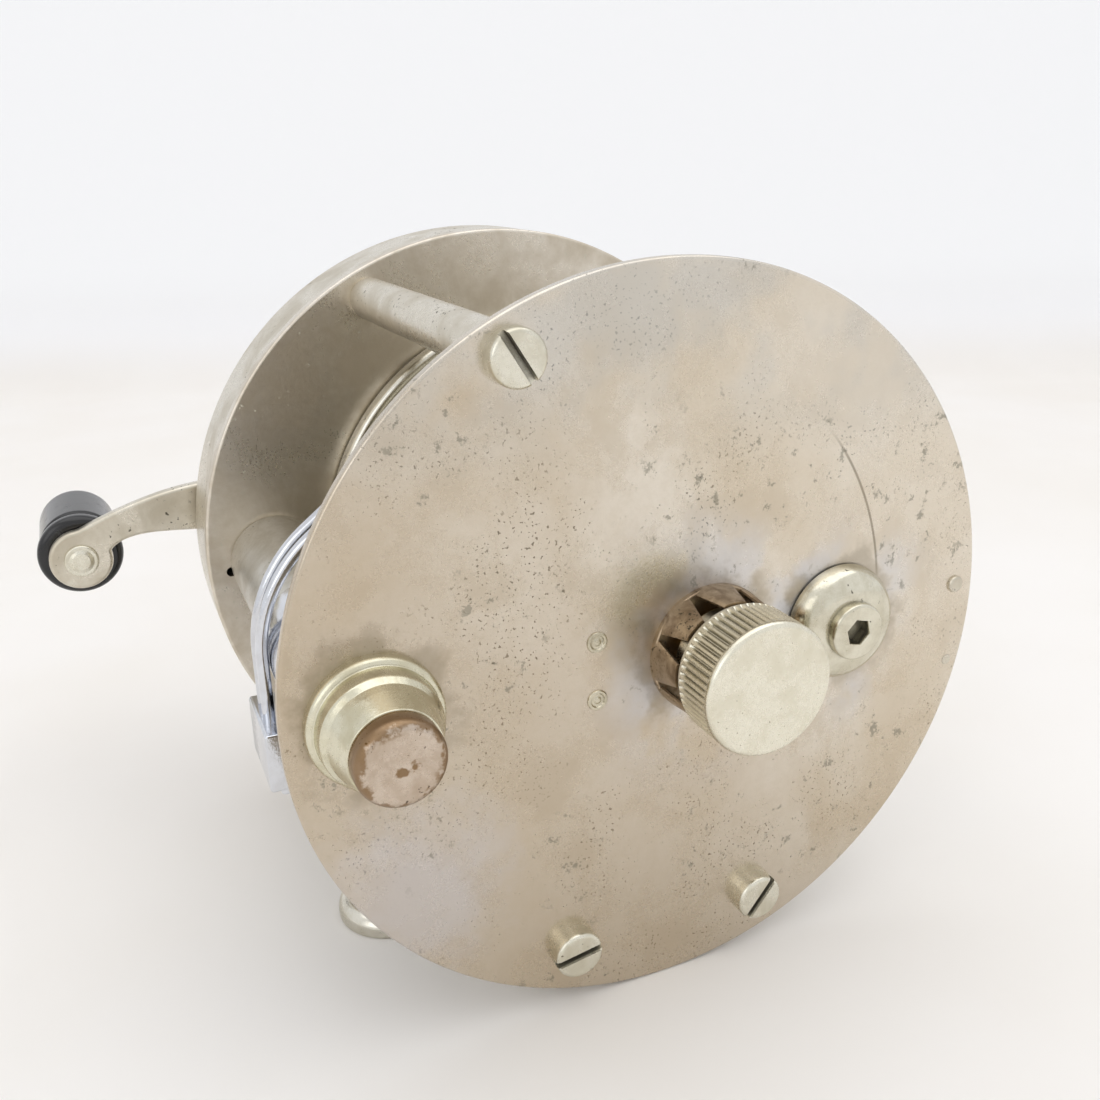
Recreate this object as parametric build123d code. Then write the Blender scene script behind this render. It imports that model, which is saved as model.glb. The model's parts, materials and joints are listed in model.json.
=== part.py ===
from build123d import *
import os
from math import acos, cos, pi, radians, sin, tan

# Level-wind bait-casting reel, millimetres.
# Origin: centre of the foot's flat underside. +X runs along the spool towards the crank,
# +Y towards the rod tip (the level wind is on that side), +Z up.

# ---- frame ----
PLATE_R = 31.75              # both side plates
PLATE_GAP = 37.5             # between the plates' inner faces
TAIL_PLATE_T = 1.1
HEAD_PLATE_T = 1.3
HOUSING_DEPTH = 9.0          # head plate's inner face to the gear housing's outer face
HOUSING_WALL = 1.1
HOUSING_FACE_T = 1.3
PLATE_EDGE_ROUND = 0.25
HOUSING_EDGE_ROUND = 0.9
FOOT_DROP = 0.0              # foot's underside below the plates' rims

# ---- pillars, their screws and the rear brace ----
PILLAR_R = 2.06
PILLAR_ROUND = 0.7
TOP_PILLAR = (13.08, 25.65)  # (Y, height over the plate centre)
BOTTOM_PILLAR_Y = 9.1
BOTTOM_PILLAR_DROP = 25.8
PILLAR_SCREW_R = 1.1
PILLAR_SCREW_DEPTH = 6.0
TAP_SPARE = 0.5              # a tapped hole goes this much deeper than its screw
SCREW_HEAD_R = 2.16
SCREW_HEAD_H = 1.5
SCREW_HEAD_ROUND = 0.35
INNER_SCREW_HEAD_R = 1.7     # the pillar screws inside the housing
SCREW_SLOT = 0.55
SCREW_FIT = 0.05             # radial clearance of a screw in its hole
BRACE_RIM = 2.1              # plate's rim to the middle of the flat bar between the plates at the back
BRACE_T = 1.5
BRACE_TOP = 2.2
BRACE_BOTTOM = -7.6
BRACE_ROUND = 0.3
BRACE_RIVET_R = 0.5
BRACE_RIVET_HEAD_R = 0.8
BRACE_RIVET_HEAD_H = 0.35
BRACE_RIVET_DEPTH = 3.0
BRACE_RIVET_HEIGHTS = (1.1, -6.5)
BRACE_RIVET_SPARE = 0.2      # its hole in the bar is this much deeper

# ---- foot ----
FOOT_TIP_Y = 25.3            # half the foot's length
FOOT_HALF_W = 7.2            # at the middle
TONGUE_HALF_W = 5.2
TONGUE_T = 1.9
TONGUE_START_Y = 16.4
TONGUE_ROUND = 1.3
SADDLE_HALF_L = 11.5         # the full width reaches this far along Y, then tapers to the tongue
SADDLE_ROUND = 1.2
FOOT_RISE_ANGLE = 50.0
FOOT_SCREW_R = 0.9
FOOT_SCREW_HEAD_R = 1.7
FOOT_SCREW_GRIP = 2.4        # how far a foot screw reaches into its pillar
FOOT_SCREW_X = 4.4
FOOT_SCREW_RECESS = 0.2
FOOT_SCREW_TURN = 25.0

# ---- spool ----
SPOOL_Y = -3.75              # spool axis; the spool is eccentric in the plates
FLANGE_TUBE_GAP = 0.56       # the flanges' rims to the level wind's tube
FLANGE_ROUNDS = (0.5, 0.4)   # inner and outer edge
FLANGE_T = 0.9
FLANGE_LIP_T = 1.4           # width of the rim's lip over the flange's web
FLANGE_LIP_WALL = 1.3
FLANGE_PLATE_GAP = 0.55      # lip to side plate
ARBOR_R = 6.0
SPOOL_SHAFT_R = 1.6
JOURNAL_R = 1.2
RUNNING_FIT = 0.03           # radial clearance of every turning fit
CLEAR = 0.3                  # least gap between pieces that move past each other

# ---- gears, all in one plane inside the housing ----
MODULE = 0.42
PRESSURE_ANGLE = 25.0
ADDENDUM = 0.8               # in modules
DEDENDUM = 1.15              # in modules
BACKLASH = 0.16              # taken off each tooth's thickness at the pitch circle
MAIN_TEETH = 40
PINION_TEETH = 10
IDLER_TEETH = 13
WORM_GEAR_TEETH = 20
GEAR_T = 3.0
GEAR_STANDOFF = 1.35         # gears to the head plate
MAIN_SHAFT_R = 2.6
MAIN_PIVOT_R = 1.5
IDLER_STUD_R = 1.2

# ---- handle ----
HANDLE_GAP = 2.15            # housing face to the handle arm
HANDLE_T = 1.5
HANDLE_HALF = 36.75          # hub to grip spindle along Y
HANDLE_TIP_DROP = 0.95       # the spindle lies this much below the hub
HANDLE_BOW_Y = 22.8          # where the S bows furthest
HANDLE_BOW = 3.3
HANDLE_BOW_TANGENT = 0.04    # slope of the arm there
HANDLE_HUB_R = 5.2
HANDLE_EYE_R = 3.2
HANDLE_WAIST = 5.3           # width of the arm
HUB_SQUARE = 3.8
HUB_THREAD_R = 1.5
HUB_NUT_H = 3.0
HUB_NUT_FLATS = 6.4
SPINDLE_R = 1.1
SPINDLE_HEAD_R = 1.75
SPINDLE_HEAD_H = 0.5
GRIP_L = 14.6
GRIP_R = 4.1
GRIP_RING_R = 4.35
GRIP_RING_T = 2.0
GRIP_NECK_R = 3.45
GRIP_BORE_DEPTH = 12.0
HANDLE_BEARING_R = 4.3

# ---- level wind ----
TUBE_R = 4.7
TUBE_WALL = 1.0
TUBE_ROUND = 0.6
TUBE_SLOT_W = 3.5
TUBE_SLOT_END = 2.35         # plate's inner face to the slot's end
WORM_R = 3.15
WORM_END_GAP = 2.45          # plate's inner face to the worm's full diameter
WORM_TAPER = 0.8
WORM_JOURNAL_R = 1.4
CARRIAGE_X = -6.35           # where the carriage stands at rest
CARRIAGE_L = 7.9
CARRIAGE_HOOK = 1.91         # how far the saddle reaches back past the tube's axis
CARRIAGE_H = 5.2
CARRIAGE_FRONT_WALL = 0.50   # metal in front of the guide wires
PAWL_CAP_MARGIN = 0.6
CARRIAGE_LIP_T = 1.2
CARRIAGE_LIP_L = 6.6
CARRIAGE_SADDLE_WALL = 0.5
CARRIAGE_FIT = 0.06          # radial clearance on the tube
PAWL_R = 1.45
PAWL_BLADE_T = 0.8
PAWL_BLADE_R = 1.3
PAWL_CAP_R = 2.6
PAWL_CAP_T = 1.0
GUIDE_WIRE_R = 0.52
GUIDE_GAP = 2.2              # centre to centre of the two wires
GUIDE_SADDLE_GAP = 0.04      # saddle's front to the wires
GUIDE_OFFSET = 0.96          # carriage's middle to the middle of the hairpin
GUIDE_RISE = ((0.0, 6.4), (-9.65, 13.9))   # (Y from the root, height) of each leg's bend and top
GUIDE_BEND = 12.5
GUIDE_SEAT_DEPTH = 3.4
CAP_FLANGE_R = 5.3           # stepped end cap of the level wind, on the tail plate
CAP_FLANGE_H = 1.15
CAP_STEP_R = (4.75, 4.6)
CAP_STEP_H = 1.95
CAP_BEAD_R = 4.35
CAP_BEAD_H = 0.7
CAP_CONE_R = (3.92, 3.5)
CAP_CONE_H = 1.95
END_CAP_R = 3.36
END_CAP_H = 1.75
END_CAP_ROUND = 0.75
CAP_SPIGOT_L = 1.2           # how far the cap's spigot reaches through the plate into the tube

# ---- tension cap at the spool's tail end ----
COLLAR_R = 5.65
COLLAR_WALL = 0.45
COLLAR_BASE_T = 0.55
COLLAR_L = 3.55
COLLAR_TIP_R = 5.35
COLLAR_FINGERS = 8
COLLAR_GAP_BASE = 0.5
COLLAR_GAP_TIP = 2.0
TENSION_FACE = 8.9           # plate's outer face to the cap's end face
TENSION_R = 5.6
TENSION_BAND_R = 5.3
TENSION_BAND_L = 0.9
TENSION_BEAD_L = 0.55
TENSION_CROWN_ROUND = 0.5
TENSION_SKIRT_R = 4.3
TENSION_SKIRT_START = 1.6
KNURL_COUNT = 60
KNURL_DEPTH = 0.22
TAIL_BUSH_R = 3.0
TAIL_BUSH_L = 5.3            # how far the bushing stands out of the plate
DISC_T = 0.8
DISC_R = 2.4

# ---- click ----
CLICK_Y = -16.6
CLICK_TRAVEL = 1.6
CLICK_DOME_R = 5.24
CLICK_DOME_H = 2.2
CLICK_NOSE_R = 2.54
CLICK_NOSE_H = 3.05
CLICK_HEX = 2.2              # across flats
CLICK_HEX_DEPTH = 1.2
CLICK_POST_R = 1.1
CLICK_POST_FIT = 0.25
CLICK_WHEEL_R = 4.0
CLICK_WHEEL_TEETH = 16
CLICK_LAYER = (0.35, 1.35)   # near and far side of the pawl and wheel, from the plate's inner face
CLICK_PAWL_HALF_W = 2.3
SPRING_RIVET_Y = 6.67
SPRING_RIVET_Z = 2.54
SPRING_RIVET_R = 0.6
SPRING_RIVET_HEAD_R = 0.9
SPRING_RIVET_PROUD = 0.15
SPRING_LEG_Z = 5.4
SPRING_STRIP = 0.5

# ---- housing fasteners and small bearings ----
HOUSING_SCREW_ANGLES = (120.0, 200.0, -35.0)
HOUSING_SCREW_RIM = 5.25     # plate's rim to the screws' circle
OIL_HOLE_R = 0.5
OIL_HOLE_Z = -0.8
HOUSING_SCREW_R = 0.9
HOUSING_SCREW_HEAD_R = 1.7
HOUSING_SCREW_HEAD_H = 1.0
HOUSING_POST_R = 2.3
SPOOL_CAP_R = 4.6
SPOOL_CAP_H = 1.7
HEAD_BUSH_R = 3.4

# ---- places worked out from the sizes above ----
AXIS_Z = PLATE_R + FOOT_DROP
TAIL_IN = -PLATE_GAP / 2
TAIL_OUT = TAIL_IN - TAIL_PLATE_T
HEAD_IN = PLATE_GAP / 2
HEAD_OUT = HEAD_IN + HEAD_PLATE_T
HOUSING_OUT = HEAD_IN + HOUSING_DEPTH
HOUSING_IN = HOUSING_OUT - HOUSING_FACE_T
GEAR_X0 = HEAD_OUT + GEAR_STANDOFF
GEAR_X1 = GEAR_X0 + GEAR_T
MAIN_Y = SPOOL_Y + MODULE * (MAIN_TEETH + PINION_TEETH) / 2
IDLER_Y = MAIN_Y + MODULE * (MAIN_TEETH + IDLER_TEETH) / 2
WORM_Y = IDLER_Y + MODULE * (IDLER_TEETH + WORM_GEAR_TEETH) / 2
ARM_X0 = HOUSING_OUT + HANDLE_GAP
ARM_X1 = ARM_X0 + HANDLE_T
FLANGE_OUT = HEAD_IN - FLANGE_PLATE_GAP          # outer side of a flange's lip
FLANGE_WEB_OUT = FLANGE_OUT - FLANGE_LIP_T
FLANGE_WEB_IN = FLANGE_WEB_OUT - FLANGE_T
TENSION_OUT = TAIL_OUT - TENSION_FACE
BUSH_OUT = TAIL_OUT - TAIL_BUSH_L
CAP_OUT = TAIL_OUT - CAP_FLANGE_H - CAP_STEP_H - CAP_BEAD_H - CAP_CONE_H
GRIP_X0 = ARM_X1 + CLEAR
TUBE_BORE_R = TUBE_R - TUBE_WALL
SADDLE_R = TUBE_R + CARRIAGE_FIT + CARRIAGE_SADDLE_WALL
FLANGE_R = WORM_Y - TUBE_R - SPOOL_Y - FLANGE_TUBE_GAP
GUIDE_ROOT_Y = WORM_Y + SADDLE_R + GUIDE_SADDLE_GAP + GUIDE_WIRE_R
CARRIAGE_FRONT_Y = GUIDE_ROOT_Y + GUIDE_WIRE_R + CARRIAGE_FRONT_WALL
CARRIAGE_BACK_Y = WORM_Y - CARRIAGE_HOOK
CARRIAGE_TOP = -TUBE_R
CARRIAGE_BOTTOM = CARRIAGE_TOP - CARRIAGE_H
WORM_HALF_L = HEAD_IN - WORM_END_GAP
TUBE_SLOT_HALF_L = HEAD_IN - TUBE_SLOT_END
BRACE_Y = -(PLATE_R - BRACE_RIM)
HOUSING_SCREW_CIRCLE = PLATE_R - HOUSING_SCREW_RIM
PILLARS = (TOP_PILLAR, (BOTTOM_PILLAR_Y, -BOTTOM_PILLAR_DROP), (-BOTTOM_PILLAR_Y, -BOTTOM_PILLAR_DROP))
SLOT_ANGLES = (58.0, -10.0, -52.0)               # how far round each pillar screw's slot has come to rest
GUIDE_X = (CARRIAGE_X + GUIDE_OFFSET - GUIDE_GAP / 2, CARRIAGE_X + GUIDE_OFFSET + GUIDE_GAP / 2)


def rod(x0, x1, radius, y=0.0, z=0.0):
    """A cylinder along X from x0 to x1, about (y, height over the plate centre)."""
    middle = Pos((x0 + x1) / 2, y, AXIS_Z + z)
    return middle * Rot(0, 90, 0) * Cylinder(radius, abs(x1 - x0))


def bored(outer, x0, x1, bore, y=0.0, z=0.0):
    """outer with a hole along X through it, a little longer than x0 to x1."""
    return outer - rod(min(x0, x1) - 0.5, max(x0, x1) + 0.5, bore, y, z)


def turned(points, y=0.0, z=0.0, rounds=()):
    """A lathe-turned piece: (x, radius) points revolved about X; rounds are (x, radius, fillet)."""
    face = make_face(Polyline(*points, close=True))
    for x, radius, fillet_radius in rounds:
        corner = face.vertices().sort_by_distance((x, radius, 0))[0]
        face = fillet(corner, fillet_radius)
    return Pos(0, y, AXIS_Z + z) * revolve(face, Axis.X)


def block(x0, x1, y0, y1, z0, z1):
    """A box between two corners, heights over the plate centre."""
    centre = Pos((x0 + x1) / 2, (y0 + y1) / 2, AXIS_Z + (z0 + z1) / 2)
    return centre * Box(abs(x1 - x0), abs(y1 - y0), abs(z1 - z0))


def side_prism(points, x0, x1, y=0.0, z=0.0):
    """A prism along X from a closed outline of (Y, height) points."""
    wire = Polyline(*[(x0, y + a, AXIS_Z + z + b) for a, b in points], close=True)
    return extrude(make_face(wire), amount=abs(x1 - x0), dir=(1 if x1 > x0 else -1, 0, 0))


def polar(radius, degrees_round):
    """The (Y, height) point at a radius and an angle from +Y."""
    return radius * cos(radians(degrees_round)), radius * sin(radians(degrees_round))


# ---- frame ----

def tail_plate():
    plate = turned([(TAIL_OUT, 0), (TAIL_OUT, PLATE_R), (TAIL_IN, PLATE_R), (TAIL_IN, 0)],
                   rounds=[(TAIL_OUT, PLATE_R, PLATE_EDGE_ROUND), (TAIL_IN, PLATE_R, PLATE_EDGE_ROUND)])
    for y, z in PILLARS:
        plate = bored(plate, TAIL_OUT, TAIL_IN, PILLAR_SCREW_R + SCREW_FIT, y, z)
    plate = bored(plate, TAIL_OUT, TAIL_IN, TAIL_BUSH_R, SPOOL_Y)
    plate = bored(plate, TAIL_OUT, TAIL_IN, TUBE_BORE_R, WORM_Y)
    for side in (-1, 1):
        plate = bored(plate, TAIL_OUT, TAIL_IN, SPRING_RIVET_R, SPRING_RIVET_Y, side * SPRING_RIVET_Z)
    for height in BRACE_RIVET_HEIGHTS:
        plate = bored(plate, TAIL_OUT, TAIL_IN, BRACE_RIVET_R, BRACE_Y, height)
    slot_r = CLICK_POST_R + CLICK_POST_FIT
    plate = bored(plate, TAIL_OUT, TAIL_IN, slot_r, CLICK_Y)
    plate = bored(plate, TAIL_OUT, TAIL_IN, slot_r, CLICK_Y + CLICK_TRAVEL)
    return plate - block(TAIL_OUT - 1, TAIL_IN + 1, CLICK_Y, CLICK_Y + CLICK_TRAVEL, -slot_r, slot_r)


def head_plate():
    plate = turned([(HEAD_IN, 0), (HEAD_IN, PLATE_R), (HEAD_OUT, PLATE_R), (HEAD_OUT, 0)],
                   rounds=[(HEAD_IN, PLATE_R, PLATE_EDGE_ROUND)])
    for y, z in PILLARS:
        plate = bored(plate, HEAD_IN, HEAD_OUT, PILLAR_SCREW_R + SCREW_FIT, y, z)
    plate = bored(plate, HEAD_IN, HEAD_OUT, HEAD_BUSH_R, SPOOL_Y)
    plate = bored(plate, HEAD_IN, HEAD_OUT, MAIN_PIVOT_R + RUNNING_FIT, MAIN_Y)
    plate = bored(plate, HEAD_IN, HEAD_OUT, IDLER_STUD_R, IDLER_Y)
    plate = bored(plate, HEAD_IN, HEAD_OUT, WORM_JOURNAL_R + RUNNING_FIT, WORM_Y)
    for height in BRACE_RIVET_HEIGHTS:
        plate = bored(plate, HEAD_IN, HEAD_OUT, BRACE_RIVET_R, BRACE_Y, height)
    for angle in HOUSING_SCREW_ANGLES:
        plate = bored(plate, HEAD_IN, HEAD_OUT, HOUSING_SCREW_R, *polar(HOUSING_SCREW_CIRCLE, angle))
    return bored(plate, HEAD_IN, HEAD_OUT, OIL_HOLE_R, WORM_Y + TUBE_R, OIL_HOLE_Z)


def gear_housing():
    """The deep cap over the gears: a cup with three screw posts and two bearing holes."""
    cup = turned([(HEAD_OUT, 0), (HEAD_OUT, PLATE_R), (HOUSING_OUT, PLATE_R), (HOUSING_OUT, 0)],
                 rounds=[(HOUSING_OUT, PLATE_R, HOUSING_EDGE_ROUND)])
    cup -= rod(HEAD_OUT - 1, HOUSING_IN, PLATE_R - HOUSING_WALL)
    for angle in HOUSING_SCREW_ANGLES:
        y, z = polar(HOUSING_SCREW_CIRCLE, angle)
        cup += rod(HEAD_OUT, HOUSING_IN + 0.2, HOUSING_POST_R, y, z)
        cup = bored(cup, HEAD_OUT, HOUSING_OUT, HOUSING_SCREW_R + SCREW_FIT, y, z)
    cup = bored(cup, HOUSING_IN, HOUSING_OUT, HEAD_BUSH_R, SPOOL_Y)
    return bored(cup, HOUSING_IN, HOUSING_OUT, HANDLE_BEARING_R, MAIN_Y)


def pillar(y, z):
    """A round bar between the plates, tapped at both ends, its head end rounded over."""
    bar = turned([(TAIL_IN, 0), (TAIL_IN, PILLAR_R), (HEAD_IN, PILLAR_R), (HEAD_IN, 0)], y, z,
                 rounds=[(HEAD_IN, PILLAR_R, PILLAR_ROUND)])
    for x, way in ((TAIL_IN, 1), (HEAD_IN, -1)):
        bar -= rod(x, x + way * (PILLAR_SCREW_DEPTH + TAP_SPARE), PILLAR_SCREW_R, y, z)
    return bar


def bottom_pillars():
    """The two lower pillars, each cross-drilled from below for the foot screws."""
    bars = [pillar(y, z) for y, z in PILLARS[1:]]
    drilled = []
    for bar, side in zip(bars, (1, -1)):
        for x in (-FOOT_SCREW_X, FOOT_SCREW_X):
            bar -= foot_screw_shank(x, side * BOTTOM_PILLAR_Y, FOOT_SCREW_R)
        drilled.append(bar)
    return Compound(children=drilled)


def cheese_head_screw(face_x, way, y, z, shank_l, head_r, head_h, shank_r, slot_angle):
    """A slotted screw along X; its head stands out of face_x, opposite to way."""
    head_end = face_x - way * head_h
    screw = turned([(head_end, 0), (head_end, head_r), (face_x, head_r), (face_x, 0)], y, z,
                   rounds=[(head_end, head_r, SCREW_HEAD_ROUND)])
    screw += rod(face_x - way * 0.1, face_x + way * shank_l, shank_r, y, z)
    slot = Pos(head_end, y, AXIS_Z + z) * Rot(slot_angle, 0, 0) * Box(head_h * 1.1, 3 * head_r, SCREW_SLOT)
    return screw - slot


def pillar_screws_tail():
    length = TAIL_PLATE_T + PILLAR_SCREW_DEPTH
    return Compound(children=[
        cheese_head_screw(TAIL_OUT, 1, y, z, length, SCREW_HEAD_R, SCREW_HEAD_H, PILLAR_SCREW_R, turn)
        for (y, z), turn in zip(PILLARS, SLOT_ANGLES)])


def pillar_screws_head():
    length = HEAD_PLATE_T + PILLAR_SCREW_DEPTH
    return Compound(children=[
        cheese_head_screw(HEAD_OUT, -1, y, z, length, INNER_SCREW_HEAD_R, SCREW_HEAD_H, PILLAR_SCREW_R, turn)
        for (y, z), turn in zip(PILLARS, SLOT_ANGLES)])


def housing_screws():
    length = HOUSING_DEPTH
    screws = []
    for angle in HOUSING_SCREW_ANGLES:
        y, z = polar(HOUSING_SCREW_CIRCLE, angle)
        screws.append(cheese_head_screw(HOUSING_OUT, -1, y, z, length, HOUSING_SCREW_HEAD_R,
                                        HOUSING_SCREW_HEAD_H, HOUSING_SCREW_R, angle + 30))
    return Compound(children=screws)


def rear_brace():
    """A flat bar between the plates behind the spool, drilled at its ends for rivets."""
    bar = block(TAIL_IN, HEAD_IN, BRACE_Y - BRACE_T / 2, BRACE_Y + BRACE_T / 2, BRACE_BOTTOM, BRACE_TOP)
    bar = fillet(bar.edges().filter_by(Axis.X), BRACE_ROUND)
    for height in BRACE_RIVET_HEIGHTS:
        for x, way in ((TAIL_IN, 1), (HEAD_IN, -1)):
            bar -= rod(x, x + way * (BRACE_RIVET_DEPTH + BRACE_RIVET_SPARE), BRACE_RIVET_R, BRACE_Y, height)
    return bar


def brace_rivets():
    """Four rivets: the tail plate's upper one has a domed head, the others are filed flush."""
    rivets = []
    for index, height in enumerate(BRACE_RIVET_HEIGHTS):
        tail = rod(TAIL_OUT, TAIL_IN + BRACE_RIVET_DEPTH, BRACE_RIVET_R, BRACE_Y, height)
        if index == 0:
            head_end = TAIL_OUT - BRACE_RIVET_HEAD_H
            tail += turned([(head_end, 0), (head_end, BRACE_RIVET_HEAD_R), (TAIL_OUT, BRACE_RIVET_HEAD_R),
                            (TAIL_OUT, 0)], BRACE_Y, height, rounds=[(head_end, BRACE_RIVET_HEAD_R, 0.3)])
        rivets.append(tail)
        rivets.append(rod(HEAD_OUT, HEAD_IN - BRACE_RIVET_DEPTH, BRACE_RIVET_R, BRACE_Y, height))
    return Compound(children=rivets)


# ---- foot ----

def foot_screw_shank(x, y, radius):
    """The hole or shank of a foot screw: vertical, from the foot's underside into the pillar."""
    top = BOTTOM_PILLAR_DROP + PILLAR_R - FOOT_SCREW_GRIP
    height = AXIS_Z - top
    return Pos(x, y, height / 2) * Cylinder(radius, height)


def foot_screw_head(x, y, grow=0.0):
    """A countersunk head, flush a little above the foot's underside."""
    depth = FOOT_SCREW_HEAD_R - FOOT_SCREW_R
    cone = Cone(FOOT_SCREW_HEAD_R + grow, FOOT_SCREW_R + grow, depth)
    return Pos(x, y, FOOT_SCREW_RECESS + depth / 2) * cone


def foot_screw_places():
    return [(x, y) for x in (-FOOT_SCREW_X, FOOT_SCREW_X) for y in (-BOTTOM_PILLAR_Y, BOTTOM_PILLAR_Y)]


def foot():
    """One casting: a flat underside, two rounded tongues and a saddle that carries the lower pillars."""
    saddle_z = AXIS_Z - BOTTOM_PILLAR_DROP
    ramp = (saddle_z - TONGUE_T) / tan(radians(FOOT_RISE_ANGLE))
    side = Polyline((0, -FOOT_TIP_Y, 0), (0, FOOT_TIP_Y, 0), (0, FOOT_TIP_Y, TONGUE_T),
                    (0, TONGUE_START_Y, TONGUE_T), (0, TONGUE_START_Y - ramp, saddle_z),
                    (0, -TONGUE_START_Y + ramp, saddle_z), (0, -TONGUE_START_Y, TONGUE_T),
                    (0, -FOOT_TIP_Y, TONGUE_T), close=True)
    body = extrude(make_face(side), amount=FOOT_HALF_W, dir=(1, 0, 0), both=True)
    body = fillet(body.edges().filter_by(Axis.X).group_by(Axis.Z)[-1], SADDLE_ROUND)
    # plan outline: straight sides, a taper, and a half-round tip as wide as the tongue
    tip = TONGUE_HALF_W
    plan = make_face([
        Line((-FOOT_HALF_W, -SADDLE_HALF_L), (-FOOT_HALF_W, SADDLE_HALF_L)),
        Line((-FOOT_HALF_W, SADDLE_HALF_L), (-tip, TONGUE_START_Y)),
        Line((-tip, TONGUE_START_Y), (-tip, FOOT_TIP_Y - tip)),
        ThreePointArc((-tip, FOOT_TIP_Y - tip), (0, FOOT_TIP_Y), (tip, FOOT_TIP_Y - tip)),
        Line((tip, FOOT_TIP_Y - tip), (tip, TONGUE_START_Y)),
        Line((tip, TONGUE_START_Y), (FOOT_HALF_W, SADDLE_HALF_L)),
        Line((FOOT_HALF_W, SADDLE_HALF_L), (FOOT_HALF_W, -SADDLE_HALF_L)),
        Line((FOOT_HALF_W, -SADDLE_HALF_L), (tip, -TONGUE_START_Y)),
        Line((tip, -TONGUE_START_Y), (tip, -FOOT_TIP_Y + tip)),
        ThreePointArc((tip, -FOOT_TIP_Y + tip), (0, -FOOT_TIP_Y), (-tip, -FOOT_TIP_Y + tip)),
        Line((-tip, -FOOT_TIP_Y + tip), (-tip, -TONGUE_START_Y)),
        Line((-tip, -TONGUE_START_Y), (-FOOT_HALF_W, -SADDLE_HALF_L))])
    body &= extrude(plan, amount=2 * saddle_z)
    tongue_edges = body.edges().filter_by(lambda e: abs(e.center().Z - TONGUE_T) < 0.01
                                          and abs(e.center().Y) > TONGUE_START_Y + 0.1)
    body = fillet(tongue_edges, TONGUE_ROUND)
    # the saddle is hollowed to the pillars and cleared of everything above them
    for y in (-BOTTOM_PILLAR_Y, BOTTOM_PILLAR_Y):
        body -= rod(TAIL_IN, HEAD_IN, PILLAR_R, y, -BOTTOM_PILLAR_DROP)
    for x, y in foot_screw_places():
        body -= foot_screw_shank(x, y, FOOT_SCREW_R)
        body -= foot_screw_head(x, y)
        body -= Pos(x, y, FOOT_SCREW_RECESS / 2) * Cylinder(FOOT_SCREW_HEAD_R, FOOT_SCREW_RECESS)
    return body


def foot_screws():
    screws = []
    for x, y in foot_screw_places():
        screw = foot_screw_head(x, y) + foot_screw_shank(x, y, FOOT_SCREW_R)
        screw -= Pos(x, y, FOOT_SCREW_RECESS / 2) * Cylinder(FOOT_SCREW_HEAD_R + 1, FOOT_SCREW_RECESS)
        slot = Box(3 * FOOT_SCREW_HEAD_R, SCREW_SLOT, 0.5)
        screws.append(screw - Pos(x, y, FOOT_SCREW_RECESS + 0.15) * Rot(0, 0, FOOT_SCREW_TURN) * slot)
    return Compound(children=screws)


# ---- spool ----

def spool_shaft():
    tail = BUSH_OUT - 0.5
    head = HOUSING_IN + 0.6
    step_tail = TAIL_IN + 0.35
    return turned([(tail, 0), (tail, JOURNAL_R), (step_tail, JOURNAL_R), (step_tail, SPOOL_SHAFT_R),
                   (GEAR_X0, SPOOL_SHAFT_R), (GEAR_X0, JOURNAL_R), (head, JOURNAL_R), (head, 0)], SPOOL_Y)


def spool_arbor():
    tube = rod(-FLANGE_WEB_IN, FLANGE_WEB_IN, ARBOR_R, SPOOL_Y)
    return bored(tube, -FLANGE_WEB_IN, FLANGE_WEB_IN, SPOOL_SHAFT_R, SPOOL_Y)


def spool_flange(side):
    """A thin dished disc whose rim turns outwards into a lip close to the side plate."""
    inner_r = FLANGE_R - FLANGE_LIP_WALL
    return turned([(side * FLANGE_WEB_IN, SPOOL_SHAFT_R), (side * FLANGE_WEB_IN, FLANGE_R),
                   (side * FLANGE_OUT, FLANGE_R), (side * FLANGE_OUT, inner_r),
                   (side * FLANGE_WEB_OUT, inner_r), (side * FLANGE_WEB_OUT, SPOOL_SHAFT_R)], SPOOL_Y,
                  rounds=[(side * FLANGE_WEB_IN, FLANGE_R, FLANGE_ROUNDS[0]),
                          (side * FLANGE_OUT, FLANGE_R, FLANGE_ROUNDS[1])])


def gear(teeth, phase, y, bore):
    """A spur gear in the gear layer; phase is the angle of one tooth's middle, in degrees from +Y.

    Each flank is an involute from the base circle to the tip, radial below the base circle, and
    each tooth is BACKLASH thinner at the pitch circle than half the pitch.
    """
    pitch_r = MODULE * teeth / 2
    base_r = pitch_r * cos(radians(PRESSURE_ANGLE))
    tip_r = pitch_r + ADDENDUM * MODULE
    root_r = pitch_r - DEDENDUM * MODULE
    involute = tan(radians(PRESSURE_ANGLE)) - radians(PRESSURE_ANGLE)
    half_at_pitch = (pi * MODULE / 2 - BACKLASH) / (2 * pitch_r)

    def half_angle(radius):
        if radius <= base_r:
            return half_at_pitch + involute
        pressure = acos(base_r / radius)
        return half_at_pitch + involute - (tan(pressure) - pressure)

    middle_r = (max(base_r, root_r) + tip_r) / 2
    radii = [root_r, max(base_r, root_r + 0.05), middle_r, tip_r]
    points = []
    for tooth in range(teeth):
        centre = radians(phase) + 2 * pi * tooth / teeth
        for radius in radii:
            angle = centre - half_angle(radius)
            points.append((radius * cos(angle), radius * sin(angle)))
        for radius in reversed(radii):
            angle = centre + half_angle(radius)
            points.append((radius * cos(angle), radius * sin(angle)))
    blank = side_prism(points, GEAR_X0, GEAR_X1, y)
    return bored(blank, GEAR_X0, GEAR_X1, bore, y)


def spool_pinion():
    return gear(PINION_TEETH, 180 / PINION_TEETH, SPOOL_Y, JOURNAL_R)


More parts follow.
